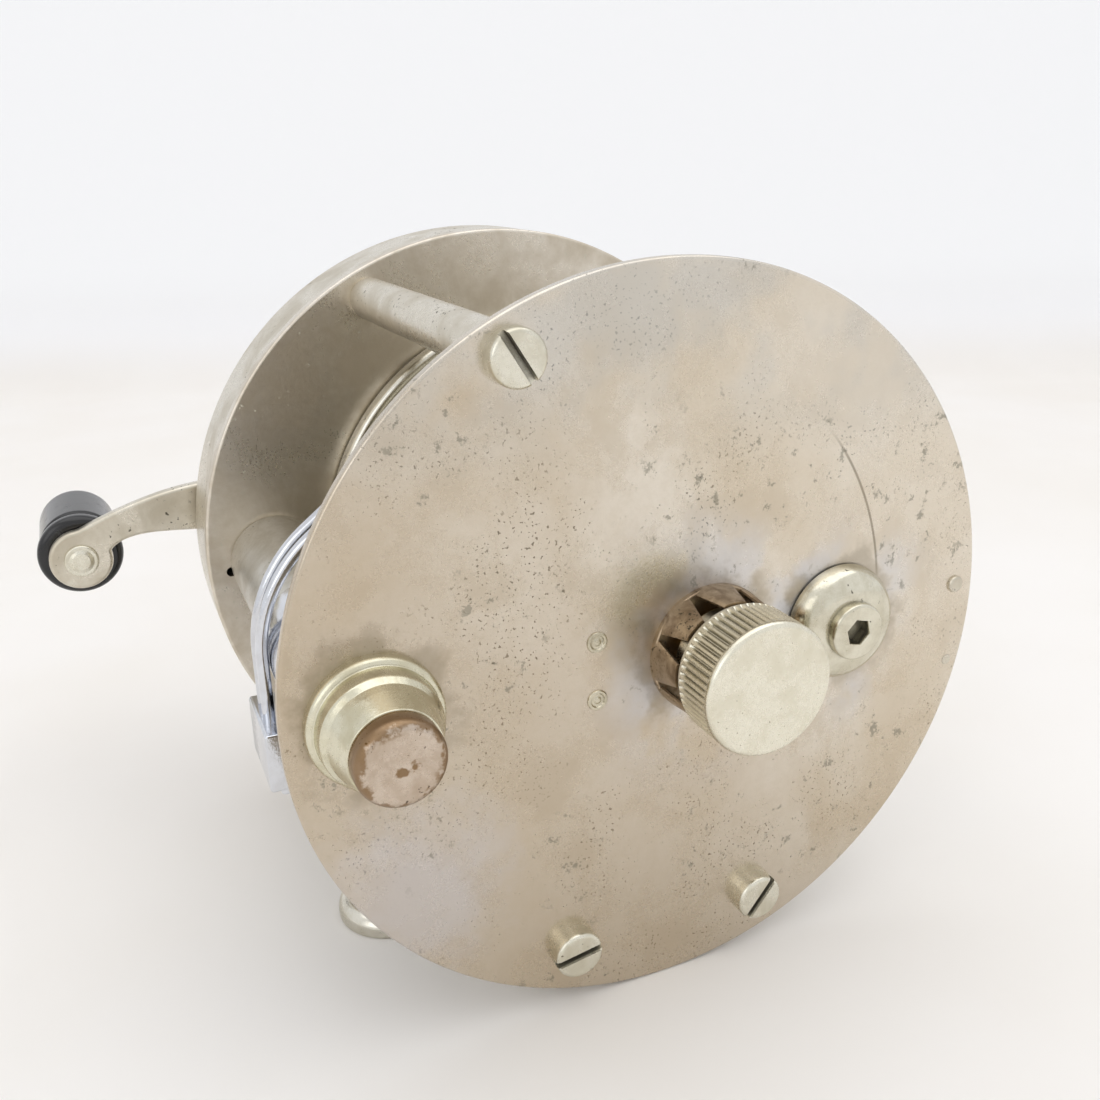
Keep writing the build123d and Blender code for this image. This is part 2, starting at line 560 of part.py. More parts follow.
def click_wheel():
    """A small ratchet wheel on the spool shaft, in the layer of the click pawl."""
    points = []
    for tooth in range(CLICK_WHEEL_TEETH):
        angle = 360 * tooth / CLICK_WHEEL_TEETH
        points.append(polar(CLICK_WHEEL_R, angle))
        points.append(polar(CLICK_WHEEL_R - 0.7, angle + 180 / CLICK_WHEEL_TEETH))
    wheel = side_prism(points, TAIL_IN + CLICK_LAYER[0], TAIL_IN + CLICK_LAYER[1], SPOOL_Y)
    return bored(wheel, TAIL_IN, TAIL_IN + CLICK_LAYER[1], SPOOL_SHAFT_R, SPOOL_Y)


# ---- spool bearings and tension cap ----

def tail_bushing():
    """The threaded tube that carries the shaft's tail end and the tension cap."""
    tube = rod(BUSH_OUT, TAIL_IN, TAIL_BUSH_R, SPOOL_Y)
    return bored(tube, BUSH_OUT, TAIL_IN, JOURNAL_R + RUNNING_FIT, SPOOL_Y)


def spring_collar():
    """A thin cup round the bushing, cut into eight springing fingers with V-shaped gaps."""
    base_x = TAIL_OUT
    floor_x = TAIL_OUT - COLLAR_BASE_T
    tip_x = TAIL_OUT - COLLAR_L
    cup = turned([(base_x, TAIL_BUSH_R), (base_x, COLLAR_R), (floor_x, COLLAR_R), (tip_x, COLLAR_TIP_R),
                  (tip_x, COLLAR_TIP_R - COLLAR_WALL), (floor_x, COLLAR_R - COLLAR_WALL),
                  (floor_x, TAIL_BUSH_R)], SPOOL_Y)
    gap = Polyline((floor_x, -COLLAR_GAP_BASE / 2), (floor_x, COLLAR_GAP_BASE / 2),
                   (tip_x - 0.5, COLLAR_GAP_TIP / 2), (tip_x - 0.5, -COLLAR_GAP_TIP / 2), close=True)
    wedge = Pos(0, 0, COLLAR_R / 2) * extrude(make_face(gap), amount=COLLAR_R)
    for finger in range(COLLAR_FINGERS):
        turn = 360 * (finger + 0.5) / COLLAR_FINGERS
        cup -= Pos(0, SPOOL_Y, AXIS_Z) * Rot(turn, 0, 0) * wedge
    return cup


def tension_cap():
    """The knurled cap: a skirt under the fingers, a plain band, the knurl, a bead and a flat crown."""
    skirt_x = TAIL_OUT - TENSION_SKIRT_START
    band_x = TAIL_OUT - COLLAR_L - 0.15
    knurl_x = band_x - TENSION_BAND_L
    bead_x = TENSION_OUT + TENSION_BEAD_L
    bore_r = TAIL_BUSH_R + RUNNING_FIT
    cap = turned([(skirt_x, bore_r), (skirt_x, TENSION_SKIRT_R), (band_x, TENSION_SKIRT_R),
                  (band_x, TENSION_BAND_R), (knurl_x, TENSION_BAND_R), (knurl_x, TENSION_R),
                  (TENSION_OUT, TENSION_R), (TENSION_OUT, 0),
                  (BUSH_OUT - DISC_T - 0.8, 0), (BUSH_OUT - DISC_T - 0.8, DISC_R),
                  (BUSH_OUT - 0.5, DISC_R), (BUSH_OUT - 0.5, bore_r)], SPOOL_Y,
                 rounds=[(TENSION_OUT, TENSION_R, TENSION_CROWN_ROUND), (band_x, TENSION_BAND_R, 0.3)])
    half_width = pi * TENSION_R / KNURL_COUNT / 2
    groove = Polyline((0, -half_width, TENSION_R + 0.02), (0, half_width, TENSION_R + 0.02),
                      (0, 0, TENSION_R - KNURL_DEPTH), close=True)
    cutter = Pos(bead_x, 0, 0) * extrude(make_face(groove), amount=knurl_x - bead_x + 0.1, dir=(1, 0, 0))
    grooves = [Pos(0, SPOOL_Y, AXIS_Z) * Rot(360 * index / KNURL_COUNT, 0, 0) * cutter
               for index in range(KNURL_COUNT)]
    return cap - grooves


def thrust_disc():
    """The fibre disc in the tension cap that the shaft's end bears on."""
    return rod(BUSH_OUT - DISC_T - 0.8, BUSH_OUT - 0.8, DISC_R, SPOOL_Y)


def head_bushing():
    tube = rod(HEAD_IN, HEAD_OUT + 0.6, HEAD_BUSH_R, SPOOL_Y)
    return bored(tube, HEAD_IN, HEAD_OUT + 0.6, SPOOL_SHAFT_R + RUNNING_FIT, SPOOL_Y)


def spool_bearing():
    """The bush in the housing's face for the shaft's head end."""
    x0 = GEAR_X1 + 0.5
    tube = rod(x0, HOUSING_OUT, HEAD_BUSH_R, SPOOL_Y)
    return tube - rod(x0 - 0.5, HOUSING_IN + 0.8, JOURNAL_R + RUNNING_FIT, SPOOL_Y)


def spool_bearing_cap():
    """A low domed cap over the spool bearing, with a coin slot."""
    out = HOUSING_OUT + SPOOL_CAP_H
    cap = turned([(HOUSING_OUT, 0), (HOUSING_OUT, SPOOL_CAP_R), (out, SPOOL_CAP_R), (out, 0)], SPOOL_Y,
                 rounds=[(out, SPOOL_CAP_R, 0.9)])
    return cap - Pos(out, SPOOL_Y, AXIS_Z) * Box(1.2, 3 * SPOOL_CAP_R, 0.9)


# ---- click ----

def click_button():
    """A sliding button: a domed skirt with a hexagonal socket in its nose, and a post through the plate."""
    shoulder_x = TAIL_OUT - CLICK_DOME_H
    nose_x = TAIL_OUT - CLICK_NOSE_H
    half = CLICK_DOME_R - CLICK_NOSE_R
    profile = make_face([
        Line((TAIL_OUT - 0.15, 0), (TAIL_OUT - 0.15, CLICK_DOME_R)),
        ThreePointArc((TAIL_OUT - 0.15, CLICK_DOME_R),
                      (TAIL_OUT - 0.15 - 0.72 * (CLICK_DOME_H - 0.15), CLICK_NOSE_R + 0.72 * half),
                      (shoulder_x, CLICK_NOSE_R)),
        Line((shoulder_x, CLICK_NOSE_R), (nose_x, CLICK_NOSE_R)),
        Line((nose_x, CLICK_NOSE_R), (nose_x, 0)),
        Line((nose_x, 0), (TAIL_OUT - 0.15, 0))])
    dome = Pos(0, CLICK_Y, AXIS_Z) * revolve(profile, Axis.X)
    dome = fillet(dome.edges().filter_by(GeomType.CIRCLE).sort_by(Axis.X)[0], 0.3)
    dome += rod(TAIL_OUT - 0.3, TAIL_IN + CLICK_LAYER[0], CLICK_POST_R, CLICK_Y)
    socket = Pos(nose_x, CLICK_Y, AXIS_Z) * Rot(0, 90, 0) * extrude(
        RegularPolygon(CLICK_HEX / 2, 6, major_radius=False), amount=CLICK_HEX_DEPTH)
    return dome - socket


def click_pawl():
    """The pointed slide behind the plate, riveted to the button's post; at its limit it nears the wheel."""
    reach = SPOOL_Y - CLICK_WHEEL_R - CLEAR - CLICK_TRAVEL - CLICK_Y
    w = CLICK_PAWL_HALF_W
    points = [(-2.6, -w), (2.4, -w), (reach, -0.35), (reach, 0.35), (2.4, w), (-2.6, w)]
    x0, x1 = TAIL_IN + CLICK_LAYER[0], TAIL_IN + CLICK_LAYER[1]
    return side_prism(points, x0, x1, CLICK_Y)


def click_spring():
    """A hairpin strip spring riveted behind the plate; its legs lie either side of the click pawl."""
    a, b = SPRING_LEG_Z, SPRING_STRIP
    heel = SPRING_RIVET_Y + 1.4
    toe = CLICK_Y - 1.5
    hook = CLICK_PAWL_HALF_W + CLEAR
    outline = [(heel, -a), (heel, a), (CLICK_Y + 4.4, a), (toe, hook + b), (toe, hook),
               (CLICK_Y + 4.2, a - b), (SPRING_RIVET_Y - 1.4, a - b), (SPRING_RIVET_Y - 1.4, -a + b),
               (CLICK_Y + 4.2, -a + b), (toe, -hook), (toe, -hook - b), (CLICK_Y + 4.4, -a)]
    strip = side_prism(outline, TAIL_IN, TAIL_IN + 0.8)
    for side in (-1, 1):
        strip = bored(strip, TAIL_IN, TAIL_IN + 0.8, SPRING_RIVET_R, SPRING_RIVET_Y, side * SPRING_RIVET_Z)
    return strip


def click_spring_rivets():
    """Two rivets; each shows a small ringed end on the tail plate."""
    rivets = []
    for side in (-1, 1):
        z = side * SPRING_RIVET_Z
        rivet = rod(TAIL_OUT - SPRING_RIVET_PROUD, TAIL_IN + 1.1, SPRING_RIVET_R, SPRING_RIVET_Y, z)
        ring = turned([(TAIL_OUT, SPRING_RIVET_R - 0.1), (TAIL_OUT, SPRING_RIVET_HEAD_R),
                       (TAIL_OUT - SPRING_RIVET_PROUD, SPRING_RIVET_HEAD_R),
                       (TAIL_OUT - SPRING_RIVET_PROUD, SPRING_RIVET_R - 0.1)], SPRING_RIVET_Y, z)
        rivet += ring
        rivet += rod(TAIL_IN + 0.8, TAIL_IN + 1.1, SPRING_RIVET_HEAD_R, SPRING_RIVET_Y, z)
        rivets.append(rivet)
    return Compound(children=rivets)


# ---- gears and handle ----

def main_gear():
    return gear(MAIN_TEETH, 0, MAIN_Y, MAIN_SHAFT_R)


def gear_shaft():
    """The crank shaft: a pivot in the head plate, a thick seat, a square for the arm and a threaded end."""
    pivot_x = HEAD_IN + 0.2
    out = ARM_X1 + HUB_NUT_H + 0.6
    shaft = turned([(pivot_x, 0), (pivot_x, MAIN_PIVOT_R), (HEAD_OUT + 0.4, MAIN_PIVOT_R),
                    (HEAD_OUT + 0.4, MAIN_SHAFT_R), (ARM_X0, MAIN_SHAFT_R), (ARM_X0, HUB_THREAD_R),
                    (out, HUB_THREAD_R), (out, 0)], MAIN_Y, rounds=[(out, HUB_THREAD_R, 0.4)])
    half = HUB_SQUARE / 2
    return shaft + block(ARM_X0 - 0.1, ARM_X1, MAIN_Y - half, MAIN_Y + half, -half, half)


def handle_bearing():
    """The bush in the housing's face for the crank shaft, with a collar outside."""
    x0, x1 = HOUSING_IN - 0.6, ARM_X0 - CLEAR
    bush = rod(x0, x1, HANDLE_BEARING_R, MAIN_Y)
    bush += rod(HOUSING_OUT, HOUSING_OUT + 0.7, HANDLE_BEARING_R + 1.0, MAIN_Y)
    return bored(bush, x0, x1, MAIN_SHAFT_R + RUNNING_FIT, MAIN_Y)


def handle_arm():
    """The flat S-shaped crank: an eye at each end, bowed one way at the front and the other behind."""
    tip_y, tip_z = HANDLE_HALF, -HANDLE_TIP_DROP
    half_w = HANDLE_WAIST / 2
    upper = Spline((0, HANDLE_HUB_R), (HANDLE_BOW_Y, HANDLE_BOW + half_w), (tip_y, tip_z + HANDLE_EYE_R),
                   tangents=[(1, 0), (1, -HANDLE_BOW_TANGENT), (1, -1.05)])
    lower = Spline((0, -HANDLE_HUB_R), (HANDLE_BOW_Y, HANDLE_BOW - half_w), (tip_y - HANDLE_EYE_R * 0.8, tip_z),
                   tangents=[(1, 0.3), (1, -HANDLE_BOW_TANGENT), (0.55, -1)])
    half = make_face([Line((0, -HANDLE_HUB_R), (0, HANDLE_HUB_R)), upper,
                      Line((tip_y, tip_z + HANDLE_EYE_R), (tip_y, tip_z)),
                      Line((tip_y, tip_z), (tip_y - HANDLE_EYE_R * 0.8, tip_z)), lower])
    outline = half + Rot(0, 0, 180) * half
    for way in (1, -1):
        outline += Pos(way * tip_y, way * tip_z) * Circle(HANDLE_EYE_R)
    outline += Circle(HANDLE_HUB_R)
    outline -= Rectangle(HUB_SQUARE, HUB_SQUARE)
    for way in (1, -1):
        outline -= Pos(way * tip_y, way * tip_z) * Circle(SPINDLE_R)
    face_plane = Plane(origin=(ARM_X0, MAIN_Y, AXIS_Z), x_dir=(0, 1, 0), z_dir=(1, 0, 0))
    arm = extrude(face_plane * outline, amount=HANDLE_T)
    rim = arm.edges().filter_by(lambda e: abs(e.center().X - ARM_X1) < 0.01 and e.length > 12)
    return fillet(rim, 0.3)


def handle_nut():
    """A six-sided dome nut on the crank shaft."""
    nut = Pos(ARM_X1, MAIN_Y, AXIS_Z) * Rot(0, 90, 0) * extrude(
        RegularPolygon(HUB_NUT_FLATS / 2, 6, major_radius=False), amount=HUB_NUT_H)
    x1 = ARM_X1 + HUB_NUT_H
    rounding = turned([(ARM_X1, 0), (ARM_X1, HUB_NUT_FLATS), (x1 - 1.2, HUB_NUT_FLATS * 0.58),
                       (x1, HUB_NUT_FLATS * 0.44), (x1, 0)], MAIN_Y)
    return bored(nut & rounding, ARM_X1, x1, HUB_THREAD_R, MAIN_Y)


def grip_place(way):
    """The (Y, height) of a grip's axis; way is 1 for the front grip and -1 for the rear one."""
    return MAIN_Y + way * HANDLE_HALF, -way * HANDLE_TIP_DROP


def grip_spindle(way):
    """A headed pin riveted in the arm's eye, with a washer shoulder, that the grip turns on."""
    y, z = grip_place(way)
    x0 = ARM_X0 - SPINDLE_HEAD_H
    x1 = GRIP_X0 + GRIP_BORE_DEPTH - 0.5
    pin = turned([(x0, 0), (x0, SPINDLE_HEAD_R), (ARM_X0, SPINDLE_HEAD_R), (ARM_X0, SPINDLE_R),
                  (x1, SPINDLE_R), (x1, 0)], y, z, rounds=[(x0, SPINDLE_HEAD_R, 0.4)])
    return pin


def grip(way):
    """A turned grip: a ring next to the arm, a narrow neck, and a barrel with a domed end."""
    y, z = grip_place(way)
    x0, x1 = GRIP_X0, GRIP_X0 + GRIP_L
    ring_x = x0 + GRIP_RING_T
    neck_x = ring_x + 0.9
    body = turned([(x0, 0), (x0, GRIP_RING_R), (ring_x, GRIP_RING_R), (ring_x, GRIP_NECK_R),
                   (neck_x, GRIP_NECK_R), (neck_x, GRIP_R), (x1, GRIP_R), (x1, 0)], y, z,
                  rounds=[(x0, GRIP_RING_R, 0.8), (ring_x, GRIP_RING_R, 0.8), (neck_x, GRIP_R, 0.6),
                          (x1, GRIP_R, 2.6)])
    return body - rod(x0 - 0.5, x0 + GRIP_BORE_DEPTH, SPINDLE_R + RUNNING_FIT, y, z)


# ---- level wind ----

def level_wind_tube():
    """The fat tube round the worm, slotted underneath for the pawl."""
    tube = turned([(TAIL_IN, TUBE_BORE_R), (TAIL_IN, TUBE_R), (HEAD_IN, TUBE_R), (HEAD_IN, TUBE_BORE_R)],
                  WORM_Y, rounds=[(HEAD_IN, TUBE_R, TUBE_ROUND)])
    half = TUBE_SLOT_W / 2
    return tube - block(-TUBE_SLOT_HALF_L, TUBE_SLOT_HALF_L, WORM_Y - half, WORM_Y + half, -2 * TUBE_R, 0)


def level_wind_cap():
    """The stepped cap outside the tail plate, a spigot into the tube and a bearing for the worm."""
    bore_r = WORM_JOURNAL_R + RUNNING_FIT
    spigot_r = TUBE_BORE_R - RUNNING_FIT
    spigot_x = TAIL_IN + CAP_SPIGOT_L
    flange_x = TAIL_OUT - CAP_FLANGE_H
    step_x = flange_x - CAP_STEP_H
    bead_x = step_x - CAP_BEAD_H
    points = [(spigot_x, bore_r), (spigot_x, spigot_r), (TAIL_OUT, spigot_r), (TAIL_OUT, CAP_FLANGE_R),
              (flange_x, CAP_FLANGE_R), (flange_x, CAP_STEP_R[0]), (step_x, CAP_STEP_R[1]),
              (step_x, CAP_BEAD_R), (bead_x, CAP_BEAD_R), (bead_x, CAP_CONE_R[0]),
              (CAP_OUT, CAP_CONE_R[1]), (CAP_OUT, bore_r)]
    return turned(points, WORM_Y, rounds=[(flange_x, CAP_FLANGE_R, 0.5), (bead_x, CAP_BEAD_R, 0.38)])


def level_wind_end_cap():
    """The small rounded cap that closes the stepped cap's end."""
    out = CAP_OUT - END_CAP_H
    return turned([(CAP_OUT, 0), (CAP_OUT, END_CAP_R), (out, END_CAP_R), (out, 0)], WORM_Y,
                  rounds=[(out, END_CAP_R, END_CAP_ROUND), (CAP_OUT, END_CAP_R, 0.15)])


def worm_shaft():
    """The level-wind shaft with its two crossing helical grooves, plain journals at both ends."""
    tail = CAP_OUT + 0.3
    head = GEAR_X1 + 0.6
    h, j = WORM_HALF_L, WORM_JOURNAL_R
    shaft = turned([(tail, 0), (tail, j), (-h - WORM_TAPER, j), (-h, WORM_R), (h, WORM_R), (h + WORM_TAPER, j),
                    (head, j), (head, 0)], WORM_Y)
    return shaft


def worm_gear():
    return gear(WORM_GEAR_TEETH, 180 / WORM_GEAR_TEETH, WORM_Y, WORM_JOURNAL_R)


def worm_gear_nut():
    """The round nut that keeps the worm gear on its shaft."""
    return bored(rod(GEAR_X1, GEAR_X1 + 0.9, 2.6, WORM_Y), GEAR_X1, GEAR_X1 + 0.9, WORM_JOURNAL_R, WORM_Y)


def idler_gear():
    return gear(IDLER_TEETH, 0, IDLER_Y, IDLER_STUD_R + RUNNING_FIT)


def idler_stud():
    """The headed stud in the head plate that the idler turns on."""
    x1 = GEAR_X1 + 0.3
    stud = rod(HEAD_IN, x1, IDLER_STUD_R, IDLER_Y)
    stud += rod(HEAD_OUT, GEAR_X0 - CLEAR, 1.9, IDLER_Y)
    return stud + rod(x1, x1 + 0.7, 1.9, IDLER_Y)


def carriage():
    """The block under the tube, with a saddle hooked round the tube's front half and a lower lip."""
    x0, x1 = CARRIAGE_X - CARRIAGE_L / 2, CARRIAGE_X + CARRIAGE_L / 2
    body = rod(x0, x1, SADDLE_R, WORM_Y)
    body -= block(x0 - 1, x1 + 1, WORM_Y - 2 * SADDLE_R, CARRIAGE_BACK_Y, -2 * SADDLE_R, 2 * SADDLE_R)
    body += block(x0, x1, CARRIAGE_BACK_Y, CARRIAGE_FRONT_Y, CARRIAGE_BOTTOM, CARRIAGE_TOP)
    lip_x0 = x1 - CARRIAGE_LIP_L
    body += block(lip_x0, x1, WORM_Y + PAWL_CAP_R + PAWL_CAP_MARGIN, CARRIAGE_FRONT_Y - 1.0,
                  CARRIAGE_BOTTOM - CARRIAGE_LIP_T, CARRIAGE_BOTTOM)
    body = bored(body, x0, x1, TUBE_R + CARRIAGE_FIT, WORM_Y)
    pawl_hole = Pos(CARRIAGE_X, WORM_Y, AXIS_Z + (CARRIAGE_BOTTOM - TUBE_R) / 2) * Cylinder(
        PAWL_R + RUNNING_FIT, TUBE_R - CARRIAGE_BOTTOM + 2)
    body -= pawl_hole
    for x in GUIDE_X:
        body -= guide_seat(x, GUIDE_WIRE_R)
    return body


def guide_seat(x, radius):
    """The vertical seat of a guide wire in the carriage."""
    middle = AXIS_Z + CARRIAGE_TOP - GUIDE_SEAT_DEPTH / 2 + 0.5
    return Pos(x, GUIDE_ROOT_Y, middle) * Cylinder(radius, GUIDE_SEAT_DEPTH + 1.0)


def pawl():
    """The pawl that rides in the worm's grooves: a round stem and a thin blade."""
    bottom = CARRIAGE_BOTTOM + 0.15
    stem_top = -TUBE_R + 0.05
    blade_top = -WORM_R - CLEAR
    stem = Pos(CARRIAGE_X, WORM_Y, AXIS_Z + (bottom + stem_top) / 2) * Cylinder(PAWL_R, stem_top - bottom)
    blade = Pos(CARRIAGE_X, WORM_Y, AXIS_Z + (stem_top + blade_top) / 2) * Box(
        PAWL_BLADE_T, 2 * PAWL_BLADE_R, blade_top - stem_top)
    return stem + blade


def pawl_cap():
    """The slotted round cap that holds the pawl in the carriage from below."""
    z = AXIS_Z + CARRIAGE_BOTTOM - PAWL_CAP_T / 2
    cap = Pos(CARRIAGE_X, WORM_Y, z) * Cylinder(PAWL_CAP_R, PAWL_CAP_T)
    slot = Pos(CARRIAGE_X, WORM_Y, AXIS_Z + CARRIAGE_BOTTOM - PAWL_CAP_T) * Box(3 * PAWL_CAP_R, 0.7, 0.8)
    return cap - slot


def line_guide():
    """A hairpin of wire: two close legs rise from the carriage and bend back over the tube."""
    root = (GUIDE_ROOT_Y, CARRIAGE_TOP - GUIDE_SEAT_DEPTH)
    side = [root] + [(GUIDE_ROOT_Y + y, z) for y, z in GUIDE_RISE]
    legs = [(GUIDE_X[0], y, AXIS_Z + z) for y, z in side]
    legs += [(GUIDE_X[1], y, AXIS_Z + z) for y, z in reversed(side)]
    bend = GUIDE_GAP / 2 - 0.02
    path = FilletPolyline(*legs, radius=[GUIDE_BEND, bend, bend, GUIDE_BEND])
    section = Plane(origin=path @ 0, z_dir=path % 0) * Circle(GUIDE_WIRE_R)
    return sweep(section, path=path)


PARTS = {
    "tail_plate": tail_plate,
    "head_plate": head_plate,
    "gear_housing": gear_housing,
    "housing_screws": housing_screws,
    "top_pillar": lambda: pillar(*TOP_PILLAR),
    "bottom_pillars": bottom_pillars,
    "pillar_screws_tail": pillar_screws_tail,
    "pillar_screws_head": pillar_screws_head,
    "rear_brace": rear_brace,
    "brace_rivets": brace_rivets,
    "reel_foot": foot,
    "foot_screws": foot_screws,
    "spool_shaft": spool_shaft,
    "spool_arbor": spool_arbor,
    "spool_flange_tail": lambda: spool_flange(-1),
    "spool_flange_head": lambda: spool_flange(1),
    "spool_pinion": spool_pinion,
    "click_wheel": click_wheel,
    "tail_bushing": tail_bushing,
    "spring_collar": spring_collar,
    "tension_cap": tension_cap,
    "thrust_disc": thrust_disc,
    "head_bushing": head_bushing,
    "spool_bearing": spool_bearing,
    "spool_bearing_cap": spool_bearing_cap,
    "click_button": click_button,
    "click_pawl": click_pawl,
    "click_spring": click_spring,
    "click_spring_rivets": click_spring_rivets,
    "main_gear": main_gear,
    "gear_shaft": gear_shaft,
    "handle_bearing": handle_bearing,
    "handle_arm": handle_arm,
    "handle_nut": handle_nut,
    "grip_spindle_front": lambda: grip_spindle(1),
    "grip_spindle_rear": lambda: grip_spindle(-1),
    "grip_front": lambda: grip(1),
    "grip_rear": lambda: grip(-1),
    "level_wind_tube": level_wind_tube,
    "level_wind_cap": level_wind_cap,
    "level_wind_end_cap": level_wind_end_cap,
    "worm_shaft": worm_shaft,
    "worm_gear": worm_gear,
    "worm_gear_nut": worm_gear_nut,
    "idler_gear": idler_gear,
    "idler_stud": idler_stud,
    "carriage": carriage,
    "pawl": pawl,
    "pawl_cap": pawl_cap,
    "line_guide": line_guide,
}

os.makedirs("parts", exist_ok=True)
for name, make in PARTS.items():
    export_step(make(), f"parts/{name}.step")
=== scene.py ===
import json
import logging
import math
from dataclasses import dataclass
from enum import Enum
from typing import Any, Callable, Sequence

import bmesh
import bpy
import numpy as np
from mathutils import Matrix, Vector
from mathutils.geometry import delaunay_2d_cdt

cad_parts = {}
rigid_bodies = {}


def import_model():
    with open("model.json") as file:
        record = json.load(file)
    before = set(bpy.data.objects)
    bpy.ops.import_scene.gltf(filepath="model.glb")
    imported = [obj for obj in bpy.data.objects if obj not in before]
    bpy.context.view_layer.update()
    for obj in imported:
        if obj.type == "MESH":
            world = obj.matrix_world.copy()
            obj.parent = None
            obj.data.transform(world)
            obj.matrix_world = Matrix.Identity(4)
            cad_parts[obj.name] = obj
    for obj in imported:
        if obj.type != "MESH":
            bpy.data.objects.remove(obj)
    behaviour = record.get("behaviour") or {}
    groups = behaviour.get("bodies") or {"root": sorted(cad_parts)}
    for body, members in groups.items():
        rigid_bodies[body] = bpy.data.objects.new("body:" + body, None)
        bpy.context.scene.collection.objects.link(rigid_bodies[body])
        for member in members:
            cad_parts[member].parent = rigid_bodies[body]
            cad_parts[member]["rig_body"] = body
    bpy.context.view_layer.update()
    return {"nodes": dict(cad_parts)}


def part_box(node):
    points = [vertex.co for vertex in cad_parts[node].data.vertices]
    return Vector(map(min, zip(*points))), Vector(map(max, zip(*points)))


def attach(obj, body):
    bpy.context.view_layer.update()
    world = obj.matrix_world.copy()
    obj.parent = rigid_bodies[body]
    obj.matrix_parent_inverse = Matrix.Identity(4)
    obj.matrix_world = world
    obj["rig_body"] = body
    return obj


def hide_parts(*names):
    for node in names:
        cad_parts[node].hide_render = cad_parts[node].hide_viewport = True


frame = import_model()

# A level-wind bait-casting reel in worn nickel plate. Lengths are millimetres until a mesh is made.
# +X runs along the spool to the crank, +Y to the rod tip, +Z up.

Points = np.ndarray
MM = 0.001
FULL_TURN = 2 * math.pi
HOLD = 0.05          # a support ring this far from each rounding keeps flat faces flat
log = logging.getLogger("reel")


# ---- places taken from the frame ----

@dataclass(frozen=True)
class Span:
    """A CAD node's box: its low corner, high corner, middle and size."""

    low: Points
    high: Points

    @classmethod
    def of(cls, node: str) -> "Span":
        """The box of one node at rest."""
        low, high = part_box(node)
        return cls(np.array(low) / MM, np.array(high) / MM)

    @property
    def middle(self) -> Points:
        """The centre of the box."""
        return (self.low + self.high) / 2

    @property
    def size(self) -> Points:
        """The three side lengths."""
        return self.high - self.low


@dataclass(frozen=True)
class Axle:
    """The line that a turned piece spins round: its start and the way it points."""

    start: tuple[float, float, float]
    way: tuple[float, float, float] = (-1.0, 0.0, 0.0)

    def place(self, along: Points, radius: Points, turn: Points) -> Points:
        """Points at a distance along the line, a radius and a turn about it.

        Args:
            along: distances from the start.
            radius: distances from the line.
            turn: angles in radians, from +Y for a line along X and from +X for an upright one.

        Returns:
            An array of points with one more dimension than the arguments.
        """
        upright = abs(self.way[2]) > 0.5
        first = np.array((1.0, 0.0, 0.0) if upright else (0.0, 1.0, 0.0))
        second = np.array((0.0, 1.0, 0.0) if upright else (0.0, 0.0, 1.0))
        along, radius, turn = np.broadcast_arrays(along, radius, turn)
        return (np.array(self.start) + along[..., None] * np.array(self.way)
                + (radius * np.cos(turn))[..., None] * first + (radius * np.sin(turn))[..., None] * second)


def even_turns(count: int) -> Points:
    """count angles spread evenly round one turn."""
    return np.linspace(0.0, FULL_TURN, count, endpoint=False)


# ---- outlines and profiles ----

def rounded(corners: Sequence[Sequence[float]], steps: int = 6, closed: bool = False,
            hold: float = HOLD) -> Points:
    """A line through corners, each replaced by an arc of its own radius.

    The arc's ends lie radius / tan(half the corner's angle) from the corner, and its points are
    blended between those two ends by sines, which keeps them on the circle.

    Args:
        corners: coordinates in two or three dimensions, each followed by the corner's radius.
        steps: the number of chords in each arc.
        closed: whether the last corner joins the first.
        hold: length of the short straight that supports each arc.

    Returns:
        The points of the line.
    """
    table = np.array(corners, float)
    points, radii = table[:, :-1], table[:, -1]
    count = len(points)
    back = np.roll(points, 1, 0) - points
    ahead = np.roll(points, -1, 0) - points
    back_length = np.linalg.norm(back, axis=1) + 1e-12
    ahead_length = np.linalg.norm(ahead, axis=1) + 1e-12
    back, ahead = back / back_length[:, None], ahead / ahead_length[:, None]
    half = np.arccos(np.clip((back * ahead).sum(1), -1, 1)) / 2
    if not closed:
        radii = radii.copy()
        radii[[0, -1]] = 0
    reach = np.where(radii > 0, radii / np.tan(np.maximum(half, 1e-6)), 0.0)
    pieces = []
    for i in range(count):
        if radii[i] <= 0:
            pieces.append(points[i:i + 1])
            continue
        spare = (back_length[i] - reach[i] - reach[i - 1], ahead_length[i] - reach[i] - reach[(i + 1) % count])
        middle = points[i] + (back[i] + ahead[i]) / np.linalg.norm(back[i] + ahead[i]) * radii[i] / np.sin(half[i])
        first = points[i] + back[i] * reach[i] - middle
        last = points[i] + ahead[i] * reach[i] - middle
        sweep = math.pi - 2 * half[i]
        share = np.linspace(0, 1, steps + 1)[:, None]
        arc = middle + (np.sin((1 - share) * sweep) * first + np.sin(share * sweep) * last) / np.sin(sweep)
        if hold > 0 and spare[0] > 3 * hold:
            arc = np.vstack([arc[:1] + back[i] * hold, arc])
        if hold > 0 and spare[1] > 3 * hold:
            arc = np.vstack([arc, arc[-1:] + ahead[i] * hold])
        pieces.append(arc)
    return np.concatenate(pieces)


def resampled(line: Points, count: int, closed: bool = True) -> Points:
    """A line with count points spread evenly along its length.

    Args:
        line: the points.
        count: how many points to give.
        closed: whether the last point joins the first.

    Returns:
        The evenly spread points.
    """
    loop = np.vstack([line, line[:1]]) if closed else line
    run = np.concatenate([[0], np.cumsum(np.linalg.norm(np.diff(loop, axis=0), axis=1))])
    wanted = np.linspace(0, run[-1], count, endpoint=not closed)
    return np.stack([np.interp(wanted, run, loop[:, i]) for i in range(loop.shape[1])], 1)


